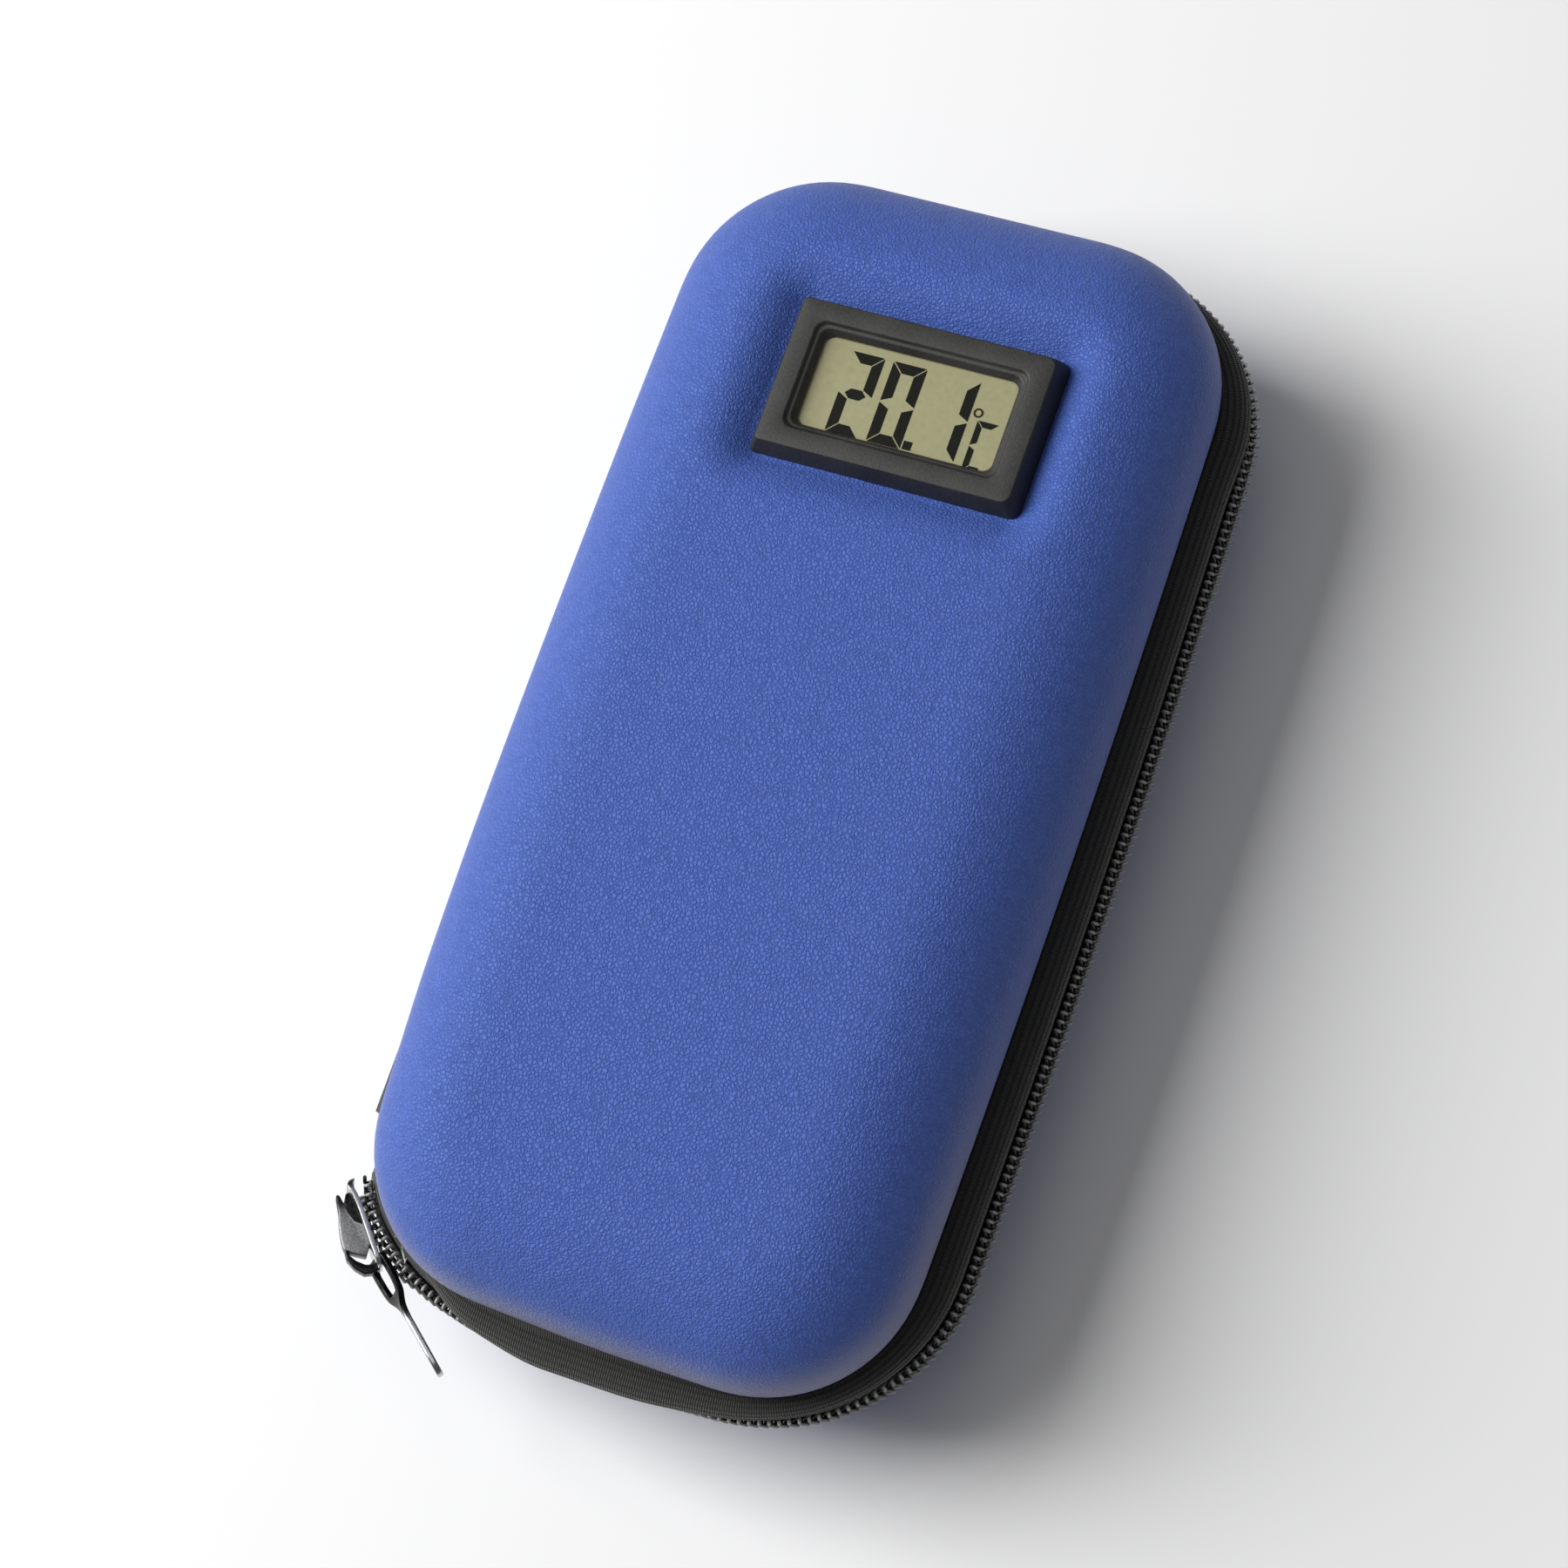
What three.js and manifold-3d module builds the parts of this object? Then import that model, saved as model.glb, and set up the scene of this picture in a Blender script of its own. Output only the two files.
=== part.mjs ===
// Insulin cooling case: a moulded hard case with a coil zipper round three sides, a fabric
// hinge on the fourth, a panel thermometer in the lid and a pen tray over two gel packs.
// Millimetres. X is the case's width with the hinge at -X, Y its length with the
// thermometer at +Y, Z up from the flat bottom that it rests on.

import * as THREE from 'three';
import { mergeVertices } from 'three/addons/utils/BufferGeometryUtils.js';
import Module from 'manifold-3d';

const wasm = await Module();
wasm.setup();

// Moulded body. Lid and base are alike, so the zip plane is at half the height.
const bodyHalfWidth = 51.5;
const bodyHalfLength = 106.6;
const bodyCornerRadius = 27.5;
const bodySideRadius = 4000;
const halfHeight = 28;
const shoulderWidth = 22;
const shoulderHeightShare = 0.837;
const rimGap = 6.5;
const wall = 2.6;
const linerThickness = 2;
const clearance = 0.3;
const overrun = 5;

// Zipper chain, of the common 5.8 mm coil size. Its face leans up from the vertical.
const chainSideOut = 4;
const chainEndOut = 1.6;
const chainCornerOut = 5.2;
const chainBowShare = 0.85;
const chainHalfHeight = 2.9;
const chainHalfThickness = 1;
const chainLean = THREE.MathUtils.degToRad(20);
const coilPitch = 1.65;
const coilTurnsPerElement = 2;
const elementRootWidth = 1.7;
const elementTipWidth = 1.1;
const elementReach = 1;
const tapeThickness = 0.9;
const tapeStraight = 2;
const tapeDrop = 0.9;
const seamDepthShare = 0.21;
const tapeEndAngle = THREE.MathUtils.degToRad(168);
const stopAngle = THREE.MathUtils.degToRad(158);
const stopLength = 3;
const stopHalfThickness = 1.3;
const stopRounding = 0.5;

// Slider, parked on the lower left corner. Its own axes are X out, Y along the chain, Z up.
const sliderAngle = THREE.MathUtils.degToRad(-139);
const sliderMouthEnd = 8;
const sliderRearEnd = 7.6;
const sliderMouthHalf = 3.9;
const sliderRearHalf = 3.5;
const sliderRounding = 1.6;
const sliderPlate = 1;
const sliderChannelHalf = 1.75;
const sliderFlangeWidth = 0.5;
const sliderFlangeHeight = 0.8;
const sliderFlangeStart = -2.8;
const sliderFlangeEnd = 3;
const sliderPostRadius = 1.1;
const sliderPostInset = 2.2;
const crownHeight = 4.4;
const crownThickness = 0.9;
const crownHalfWidth = 1.2;
const crownFootInset = 4.7;
const crownCapEnd = 2.2;
const crownBevel = 0.7;
const crownRearBevel = 1.6;

// Pull: an eye round the crown, a narrow neck and a long slotted tab.
const pullThickness = 1.1;
const pullPivotAlong = 5.4;
const pullRestAngle = THREE.MathUtils.degToRad(9.8);
const pullHeadHalf = 2.6;
const pullHeadBack = 0.55;
const pullHeadLength = 9;
const pullEyeLength = 7.8;
const pullEyeHalf = 1.6;
const pullNeckHalf = 1.2;
const pullNeckAt = 10.4;
const pullTabStart = 12.6;
const pullTabStartHalf = 1.9;
const pullTabHalf = 2.6;
const pullLength = 25.3;
const pullSlotHalf = 0.9;
const pullSlotMargin = 1.3;

// Fabric hinge on the left long side.
const hingeStandOff = 4.5;
const spineEndGap = 0.1;
const spineEdgeOut = 0.6;
const spineBulgeShare = 0.35;

// Panel thermometer, a standard size: frame 48 x 28.6 mm, 15.2 mm deep.
const frameHalfWidth = 24;
const frameHalfLength = 14.3;
const frameRounding = 1.4;
const frameCentreX = 1.4;
const frameEndMargin = 42.9;
const frameProud = 0.8;
const frameFlange = 3.2;
const frameDraft = 0.5;
const meterDepth = 15.2;
const meterHalfWidth = 22.7;
const meterHalfLength = 12.9;
const meterRounding = 1;
const meterWall = 1.2;
const meterFit = 0.2;
const lipThickness = 1.2;
const windowHalfWidth = 18;
const windowHalfLength = 8.5;
const windowBevel = 1.4;
const paneMargin = 1.2;
const paneThickness = 1;
const displayThickness = 2;
const stripThickness = 1.6;
const stripWidth = 2.2;
const boardThickness = 1;
const boardMargin = 0.3;
const blobRadius = 4.2;
const blobHeight = 1.2;
const beadRadius = 1.2;
const cellRadius = 5.8;
const cellHeight = 5.4;
const cellSpacing = 12.2;
const contactThickness = 0.3;
const contactWidth = 4;
const contactLength = 9;
const coverThickness = 1.5;
const doorThickness = 1.2;
const doorWidth = 13.6;
const doorGripDepth = 0.3;
const doorGripWidth = 0.7;
const doorGripPitch = 1.6;
const doorGripHalf = 3.4;
const doorGripCount = 4;
const ventCount = 4;
const ventWidth = 1;
const ventLength = 8;
const ventPitch = 2.4;
const clipReach = 0.9;
const clipHeight = 1.8;
const clipHalfLength = 4;

// Soft dent of the lid round the thermometer.
const dentDepth = 2.7;
const dentMargin = 1;
const dentBlend = 9.5;
const dentSteps = 5;

// Inside of the case.
const packSideMargin = 12;
const packEndMargin = 12.6;
const packMiddleMargin = 1;
const packCornerRadius = 9;
const packThicknessShare = 0.3215;
const packSeam = 3.5;
const packSeamThickness = 0.7;
const packSideShare = 0.67;
const trayInset = 7;
const trayTop = 2;
const trayChamfer = 1.2;
const channelRadius = 9;
const channelSpacing = 26;
const channelEndMargin = 22.6;
const channelFloor = 3.5;
const scoopRadius = 22;
const scoopDepth = 9;
const strapSideMargin = 12.5;
const strapHalfWidth = 9;
const strapThickness = 0.8;
const strapEndMargin = 56.6;
const netHeightShare = 0.357;
const netThickness = 0.7;
const netUnderFrame = 27.7;
const netHemRadius = 1.1;

// Counts of facets.
const cornerSteps = 7;
const sideSteps = 3;
const chainSideSteps = 8;
const shoulderSteps = 6;
const linerCornerSteps = 5;
const linerShoulderSteps = 4;
const dentArcSteps = 2;
const slabArcSteps = 1;
const metalArcSteps = 4;
const padCornerSteps = 3;
const roundSteps = 24;
const beadSteps = 8;
const pointsPerFace = 3;
const pointsPerEnd = 2 * pointsPerFace;
const pointsPerElement = 2 * pointsPerEnd;

// Sizes and heights worked out from the sizes above.
const chainHalfWidth = bodyHalfWidth + chainSideOut;
const chainHalfLength = bodyHalfLength + chainEndOut;
const chainCornerRadius = bodyCornerRadius + chainCornerOut;
const chainSideRadius = bodySideRadius * chainBowShare;
const sideHeight = halfHeight - rimGap;
const shoulderHeight = sideHeight * shoulderHeightShare;
const seamDepth = sideHeight * seamDepthShare;
const packThickness = halfHeight * packThicknessShare;
const netHeight = halfHeight * netHeightShare;
const spineHalfLength = bodyHalfLength - bodyCornerRadius - spineEndGap;
const frameCentreY = bodyHalfLength - frameEndMargin;
const netTopEdge = frameCentreY - netUnderFrame;
const packRoom = bodyHalfLength - packEndMargin;
const packPlace = (packRoom + packMiddleMargin) / 2;
const packHalfLength = (packRoom - packMiddleMargin) / 2 - packSeam;
const packHalfWidth = bodyHalfWidth - packSideMargin - packSeam;
const channelHalfLength = bodyHalfLength - channelEndMargin;
const strapHalfLength = bodyHalfWidth - strapSideMargin;
const strapPlace = bodyHalfLength - strapEndMargin;
const zipPlane = halfHeight;
const lidTop = zipPlane + halfHeight;
const frameTop = lidTop + frameProud;
const dentFloor = lidTop - dentDepth;
const linerSide = wall + tapeThickness + 2 * clearance;
const linerCeiling = wall + clearance;
const hingeX = -(bodyHalfWidth + hingeStandOff);

// Materials.
const paint = (color, roughness, metalness) =>
  new THREE.MeshStandardMaterial({ color, roughness, metalness });
const blueLeather = paint(0x4c64ad, 0.55, 0);
const foil = paint(0xc3c6ca, 0.35, 0.6);
const blackFabric = paint(0x1c1c1e, 0.85, 0);
const blackNylon = paint(0x232325, 0.5, 0);
const nickel = paint(0x8d8d8c, 0.35, 1);
const blackPlastic = paint(0x2d2d2e, 0.5, 0);
const clearPane = paint(0xdfe5df, 0.08, 0);
const displayGlass = paint(0xa9a983, 0.3, 0);
const greyRubber = paint(0x55565a, 0.8, 0);
const greenBoard = paint(0x1f5a3a, 0.6, 0);
const blackResin = paint(0x161616, 0.35, 0);
const steel = paint(0xb5b7ba, 0.25, 1);
const brass = paint(0xc2a14d, 0.35, 1);
const greyFoam = paint(0x3a3c42, 0.95, 0);
const gelFilm = paint(0x8fb9dd, 0.25, 0);
const blackElastic = paint(0x26262a, 0.8, 0);
const blackNet = paint(0x2a2b30, 0.85, 0);

// Solids: joining, cutting and closing of meshes.

function solidFrom(geometry) {
  const bare = geometry.clone();
  bare.deleteAttribute('normal');
  bare.deleteAttribute('uv');
  const merged = mergeVertices(bare);
  return new wasm.Manifold(new wasm.Mesh({
    numProp: 3,
    vertProperties: new Float32Array(merged.attributes.position.array),
    triVerts: new Uint32Array(merged.index.array),
  }));
}

function geometryFrom(solid) {
  const mesh = solid.getMesh();
  const geometry = new THREE.BufferGeometry();
  geometry.setAttribute('position', new THREE.BufferAttribute(mesh.vertProperties, 3));
  geometry.setIndex(new THREE.BufferAttribute(mesh.triVerts, 1));
  geometry.computeVertexNormals();
  return geometry;
}

function joined(solids) {
  return solids.reduce((sum, solid) => sum.add(solid));
}

function closedGeometry(points, triangles) {
  let volume = 0;
  for (const [a, b, c] of triangles) {
    volume += points[a].dot(points[b].clone().cross(points[c]));
  }
  const facing = volume > 0 ? triangles : triangles.map(([a, b, c]) => [a, c, b]);
  const geometry = new THREE.BufferGeometry().setFromPoints(points);
  geometry.setIndex(facing.flat());
  geometry.computeVertexNormals();
  return geometry;
}

// A stack of rings with the same count of points, closed by a flat fan at each end.
function stack(rings) {
  const count = rings[0].length;
  const triangles = [];
  for (let level = 0; level < rings.length - 1; level += 1) {
    for (let i = 0; i < count; i += 1) {
      const a = level * count + i;
      const b = level * count + (i + 1) % count;
      triangles.push([a, b, b + count], [a, b + count, a + count]);
    }
  }
  const last = (rings.length - 1) * count;
  for (let i = 1; i < count - 1; i += 1) {
    triangles.push([0, i + 1, i], [last, last + i, last + i + 1]);
  }
  return closedGeometry(rings.flat(), triangles);
}

// An open band: each section is a list of [outer, inner] pairs of points.
function band(sections) {
  const pairs = sections[0].length;
  const points = sections.flatMap((section) => [
    ...section.map(([outer]) => outer),
    ...section.map(([, inner]) => inner).reverse(),
  ]);
  const size = 2 * pairs;
  const triangles = [];
  for (let k = 0; k < sections.length - 1; k += 1) {
    for (let i = 0; i < size; i += 1) {
      const a = k * size + i;
      const b = k * size + (i + 1) % size;
      triangles.push([a, b, b + size], [a, b + size, a + size]);
    }
  }
  for (let i = 0; i < pairs - 1; i += 1) {
    const [a, b, c, d] = [i, i + 1, size - 2 - i, size - 1 - i];
    const end = (sections.length - 1) * size;
    triangles.push([a, c, b], [a, d, c]);
    triangles.push([end + a, end + b, end + c], [end + a, end + c, end + d]);
  }
  return closedGeometry(points, triangles);
}

// Pairs of points at half the thickness on each side of a line of points.
function thickened(line, along, thickness) {
  return line.map((point, i) => {
    const before = line[Math.max(i - 1, 0)];
    const after = line[Math.min(i + 1, line.length - 1)];
    const side = after.clone().sub(before).cross(along).normalize();
    side.multiplyScalar(thickness / 2);
    return [point.clone().add(side), point.clone().sub(side)];
  });
}

// Outlines: rounded rectangles whose long sides bow out a little.

function arcPiece(centreX, centreY, radius, from, to) {
  const at = (share) => {
    const angle = from + (to - from) * share;
    const x = centreX + radius * Math.cos(angle);
    const y = centreY + radius * Math.sin(angle);
    return { x, y, angle };
  };
  return { length: radius * (to - from), at };
}

function linePiece(fromX, toX, y, angle) {
  const at = (share) => ({ x: fromX + (toX - fromX) * share, y, angle });
  return { length: Math.abs(toX - fromX), at };
}

function outline(halfWidth, halfLength, cornerRadius, sideRadius) {
  const sideCentre = halfWidth - sideRadius;
  const cornerY = halfLength - cornerRadius;
  const reach = sideRadius - cornerRadius;
  const cornerX = sideCentre + Math.sqrt(reach * reach - cornerY * cornerY);
  const sideAngle = Math.atan2(cornerY, cornerX - sideCentre);
  return { halfLength, cornerRadius, sideRadius, sideCentre, cornerX, cornerY, sideAngle };
}

// The way round three sides, from the lower left corner to the upper left one.
function openWay(shape, endAngle) {
  const { halfLength, cornerRadius, sideRadius, sideCentre, cornerX, cornerY, sideAngle } = shape;
  const quarter = Math.PI / 2;
  return [
    arcPiece(-cornerX, -cornerY, cornerRadius, -endAngle, -quarter),
    linePiece(-cornerX, cornerX, -halfLength, -quarter),
    arcPiece(cornerX, -cornerY, cornerRadius, -quarter, -sideAngle),
    arcPiece(sideCentre, 0, sideRadius, -sideAngle, sideAngle),
    arcPiece(cornerX, cornerY, cornerRadius, sideAngle, quarter),
    linePiece(cornerX, -cornerX, halfLength, quarter),
    arcPiece(-cornerX, cornerY, cornerRadius, quarter, endAngle),
  ];
}

function closedWay(shape) {
  const turn = Math.PI - shape.sideAngle;
  const left = arcPiece(-shape.sideCentre, 0, shape.sideRadius, turn, turn + 2 * shape.sideAngle);
  return [...openWay(shape, turn), left];
}

function stations(way, corner, side) {
  const steps = [corner, 1, corner, side, corner, 1, corner, side];
  return way.flatMap((piece, i) =>
    Array.from({ length: steps[i] }, (_, k) => piece.at(k / steps[i])));
}

function openStations(way, corner, side) {
  return [...stations(way, corner, side), way[way.length - 1].at(1)];
}

function placeAtLength(way, length) {
  let rest = length;
  for (const piece of way) {
    if (rest <= piece.length) return piece.at(rest / piece.length);
    rest -= piece.length;
  }
  return way[way.length - 1].at(1);
}

function ring(halfWidth, halfLength, cornerRadius, sideRadius, z, corner, side) {
  const way = closedWay(outline(halfWidth, halfLength, cornerRadius, sideRadius));
  return stations(way, corner, side).map(({ x, y }) => new THREE.Vector3(x, y, z));
}

function bodyRing(inset, z, corner, side) {
  return ring(
    bodyHalfWidth - inset,
    bodyHalfLength - inset,
    bodyCornerRadius - inset,
    bodySideRadius - inset,
    z,
    corner,
    side,
  );
}

function roundedRectangle(halfWidth, halfLength, radius) {
  const shape = new THREE.Shape();
  const quarter = Math.PI / 2;
  const x = halfWidth - radius;
  const y = halfLength - radius;
  shape.absarc(x, -y, radius, -quarter, 0);
  shape.absarc(x, y, radius, 0, quarter);
  shape.absarc(-x, y, radius, quarter, 2 * quarter);
  shape.absarc(-x, -y, radius, 2 * quarter, 3 * quarter);
  shape.closePath();
  return shape;
}

function extruded(shape, depth, z, arcSteps = slabArcSteps) {
  const options = { depth, bevelEnabled: false, curveSegments: arcSteps };
  return new THREE.ExtrudeGeometry(shape, options).translate(0, 0, z);
}

function slab(halfWidth, halfLength, radius, bottom, top) {
  return extruded(roundedRectangle(halfWidth, halfLength, radius), top - bottom, bottom);
}

function block(x0, x1, y0, y1, z0, z1) {
  const box = new THREE.BoxGeometry(x1 - x0, y1 - y0, z1 - z0);
  return box.translate((x0 + x1) / 2, (y0 + y1) / 2, (z0 + z1) / 2);
}

function drum(radius, bottom, top, steps) {
  const cylinder = new THREE.CylinderGeometry(radius, radius, top - bottom, steps);
  return cylinder.rotateX(Math.PI / 2).translate(0, 0, (bottom + top) / 2);
}

// Moulded halves. A form is a lid-shaped solid, set in from the body's outside.

function lidForm(inset, drop, edge, corner, shoulder) {
  const rings = [bodyRing(inset, edge, corner, sideSteps)];
  const width = shoulderWidth - inset;
  const height = shoulderHeight - drop;
  const start = lidTop - shoulderHeight;
  for (let k = 0; k <= shoulder; k += 1) {
    const angle = (Math.PI / 2) * (k / shoulder);
    const more = width * (1 - Math.cos(angle));
    rings.push(bodyRing(inset + more, start + height * Math.sin(angle), corner, sideSteps));
  }
  return solidFrom(stack(rings));
}

// The dent as a solid above the lid's surface, lowered and widened by a thickness.
function dentForm(thickness) {
  const rings = [];
  for (let k = 0; k <= dentSteps; k += 1) {
    const share = k / dentSteps;
    const rise = share * share * (3 - 2 * share);
    const out = dentMargin + thickness + dentBlend * share;
    const z = dentFloor - thickness + dentDepth * rise;
    rings.push(dentRing(out, z));
  }
  rings.push(dentRing(dentMargin + thickness + dentBlend, lidTop + overrun));
  return solidFrom(stack(rings)).translate([frameCentreX, frameCentreY, 0]);
}

function dentRing(out, z) {
  const shape = roundedRectangle(frameHalfWidth + out, frameHalfLength + out, frameRounding + out);
  return shape.getPoints(dentArcSteps).slice(0, -1).map(({ x, y }) => new THREE.Vector3(x, y, z));
}

function meterHole() {
  const halfWidth = meterHalfWidth + clearance;
  const halfLength = meterHalfLength + clearance;
  const hole = slab(halfWidth, halfLength, meterRounding, zipPlane, lidTop + overrun);
  return solidFrom(hole).translate([frameCentreX, frameCentreY, 0]);
}

// One half, open at its edge. The lid's has the dent and the hole for the thermometer.
function makeHalf(skin, isLid) {
  const { inset, drop, thickness, edge, corner, shoulder } = skin;
  const deeper = inset + thickness;
  const lower = drop + thickness;
  const outside = lidForm(inset, drop, edge, corner, shoulder);
  const inside = lidForm(deeper, lower, edge - overrun, corner, shoulder);
  if (!isLid) {
    const lying = outside.subtract(inside).mirror([0, 0, 1]);
    return geometryFrom(lying.translate([0, 0, 2 * zipPlane]));
  }
  const hollow = inside.subtract(dentForm(lower));
  return geometryFrom(outside.subtract(dentForm(drop)).subtract(hollow).subtract(meterHole()));
}

const shellSkin = {
  inset: 0,
  drop: 0,
  thickness: wall,
  edge: zipPlane + rimGap,
  corner: cornerSteps,
  shoulder: shoulderSteps,
};
const linerSkin = {
  inset: linerSide,
  drop: linerCeiling,
  thickness: linerThickness,
  edge: zipPlane + clearance,
  corner: linerCornerSteps,
  shoulder: linerShoulderSteps,
};

// Zipper. A place on the chain is given by a station, how far out and how far up.

const chainOutline = outline(
  chainHalfWidth, chainHalfLength, chainCornerRadius, chainSideRadius);
const bodyOutline = outline(
  bodyHalfWidth, bodyHalfLength, bodyCornerRadius, bodySideRadius);

function placeOff({ x, y, angle }, out, z) {
  return new THREE.Vector3(x + out * Math.cos(angle), y + out * Math.sin(angle), z);
}

function chainPoint(station, out, up) {
  const radial = out * Math.cos(chainLean) - up * Math.sin(chainLean);
  const rise = out * Math.sin(chainLean) + up * Math.cos(chainLean);
  return placeOff(station, radial, zipPlane + rise);
}

function seamLine(station, side) {
  const out = -(wall + clearance + tapeThickness / 2);
  return [
    placeOff(station, out, zipPlane + side * (rimGap - tapeDrop)),
    placeOff(station, out, zipPlane + side * (rimGap + seamDepth)),
  ];
}

// One tape: straight behind the chain's edge, bent over and sewn up inside the shell.
function makeTape(side) {
  const chainSide = openStations(openWay(chainOutline, tapeEndAngle), cornerSteps, chainSideSteps);
  const bodySide = openStations(openWay(bodyOutline, tapeEndAngle), cornerSteps, chainSideSteps);
  const edge = chainHalfHeight + clearance;
  return band(chainSide.map((station, i) => {
    const line = [
      chainPoint(station, 0, side * edge),
      chainPoint(station, 0, side * (edge + tapeStraight)),
      ...seamLine(bodySide[i], side),
    ];
    const along = new THREE.Vector3(-Math.sin(station.angle), Math.cos(station.angle), 0);
    return thickened(line, along, tapeThickness);
  }));
}

// One half of the chain: a strip along the tape's edge with tapered elements that mesh
// with those of the other half, a half pitch on.
function makeChainHalf(side) {
  const pitch = coilPitch * coilTurnsPerElement;
  const way = openWay(chainOutline, stopAngle);
  const total = way.reduce((sum, piece) => sum + piece.length, 0);
  const parked = (sliderAngle + stopAngle) * chainCornerRadius;
  const start = parked + sliderRearEnd + pitch;
  const shift = side > 0 ? pitch / 2 : 0;
  const count = Math.floor((total - start - pitch) / pitch);
  const up = [chainHalfHeight, elementReach + clearance, -elementReach].map((h) => side * h);
  const points = [];
  for (let k = 0; k < count; k += 1) {
    const middle = start + shift + k * pitch;
    for (const end of [-1, 1]) {
      const root = placeAtLength(way, middle + (end * elementRootWidth) / 2);
      const tip = placeAtLength(way, middle + (end * elementTipWidth) / 2);
      for (const out of [chainHalfThickness, -chainHalfThickness]) {
        points.push(chainPoint(root, out, up[0]));
        points.push(chainPoint(root, out, up[1]));
        points.push(chainPoint(tip, out, up[2]));
      }
    }
  }
  return closedGeometry(points, combTriangles(count));
}

// Each element has two ends, each end a front and a back, and each of those an edge point,
// a foot point and a tip point.
function combTriangles(count) {
  const triangles = [];
  const quad = (a, b, c, d) => triangles.push([a, b, c], [a, c, d]);
  const at = (element, end, back, row) =>
    element * pointsPerElement + end * pointsPerEnd + back * pointsPerFace + row;
  const bridge = (p, q, lower, upper) => {
    quad(p(0, lower), q(0, lower), q(0, upper), p(0, upper));
    quad(p(1, lower), p(1, upper), q(1, upper), q(1, lower));
  };
  for (let k = 0; k < count; k += 1) {
    const near = (back, row) => at(k, 0, back, row);
    const far = (back, row) => at(k, 1, back, row);
    bridge(near, far, 0, 1);
    bridge(near, far, 1, 2);
    quad(near(0, 0), near(1, 0), far(1, 0), far(0, 0));
    quad(near(0, 2), far(0, 2), far(1, 2), near(1, 2));
    quad(near(0, 1), near(0, 2), near(1, 2), near(1, 1));
    quad(far(0, 1), far(1, 1), far(1, 2), far(0, 2));
    if (k === 0) quad(near(0, 0), near(0, 1), near(1, 1), near(1, 0));
    if (k === count - 1) {
      quad(far(0, 0), far(1, 0), far(1, 1), far(0, 1));
      continue;
    }
    const next = (back, row) => at(k + 1, 0, back, row);
    bridge(far, next, 0, 1);
    quad(far(0, 0), far(1, 0), next(1, 0), next(0, 0));
    quad(far(0, 1), next(0, 1), next(1, 1), far(1, 1));
  }
  return triangles;
}

// A cramp on the last bit of each tape, where the chain ends.
function makeStop() {
  const half = (chainHalfHeight - clearance) / 2;
  const shape = roundedRectangle(stopHalfThickness, half, stopRounding);
  return extruded(shape, stopLength, -stopLength / 2).rotateX(Math.PI / 2);
}

function atChain(angle, mesh) {
  const turn = new THREE.Group();
  const sideY = Math.sign(angle);
  turn.position.set(-chainOutline.cornerX, sideY * chainOutline.cornerY, zipPlane);
  turn.rotation.z = angle;
  const lean = new THREE.Group();
  lean.position.x = chainCornerRadius;
  lean.rotation.y = -chainLean;
  lean.add(mesh);
  turn.add(lean);
  return turn;
}

// Slider. Shapes drawn along and up the chain are laid on its face.

const ontoChainFace = new THREE.Matrix4().makeBasis(
  new THREE.Vector3(0, 1, 0), new THREE.Vector3(0, 0, 1), new THREE.Vector3(1, 0, 0));
const ontoChainEdge = new THREE.Matrix4().makeBasis(
  new THREE.Vector3(0, 1, 0), new THREE.Vector3(1, 0, 0), new THREE.Vector3(0, 0, -1));

function sliderPlateShape() {
  const shape = new THREE.Shape();
  shape.moveTo(-sliderMouthEnd + sliderRounding, -sliderMouthHalf);
  shape.lineTo(sliderRearEnd - sliderRounding, -sliderRearHalf);
  shape.quadraticCurveTo(
    sliderRearEnd, -sliderRearHalf, sliderRearEnd, -sliderRearHalf + sliderRounding);
  shape.lineTo(sliderRearEnd, sliderRearHalf - sliderRounding);
  shape.quadraticCurveTo(
    sliderRearEnd, sliderRearHalf, sliderRearEnd - sliderRounding, sliderRearHalf);
  shape.lineTo(-sliderMouthEnd + sliderRounding, sliderMouthHalf);
  shape.quadraticCurveTo(
    -sliderMouthEnd, sliderMouthHalf, -sliderMouthEnd, sliderMouthHalf - sliderRounding);
  shape.lineTo(-sliderMouthEnd, -sliderMouthHalf + sliderRounding);
  shape.quadraticCurveTo(
    -sliderMouthEnd, -sliderMouthHalf, -sliderMouthEnd + sliderRounding, -sliderMouthHalf);
  return shape;
}

// The crown is a solid cap with an arch behind it, which holds the pull.
function crownShape() {
  const mouth = -(sliderMouthEnd - crownFootInset);
  const foot = sliderChannelHalf + sliderPlate / 2;
  const top = sliderChannelHalf + sliderPlate + crownHeight;
  const under = top - crownThickness;
  const shape = new THREE.Shape();
  shape.moveTo(mouth, foot);
  shape.lineTo(crownCapEnd, foot);
  shape.lineTo(crownCapEnd, under - crownBevel);
  shape.lineTo(crownCapEnd + crownBevel, under);
  shape.lineTo(sliderRearEnd - crownRearBevel, under);
  shape.lineTo(sliderRearEnd - crownThickness, top - crownRearBevel);
  shape.lineTo(sliderRearEnd - crownThickness, foot);
  shape.lineTo(sliderRearEnd, foot);
  shape.lineTo(sliderRearEnd, top - crownRearBevel);
  shape.lineTo(sliderRearEnd - crownRearBevel, top);
  shape.lineTo(mouth + crownBevel, top);
  shape.lineTo(mouth, top - crownBevel);
  return shape;
}

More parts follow.
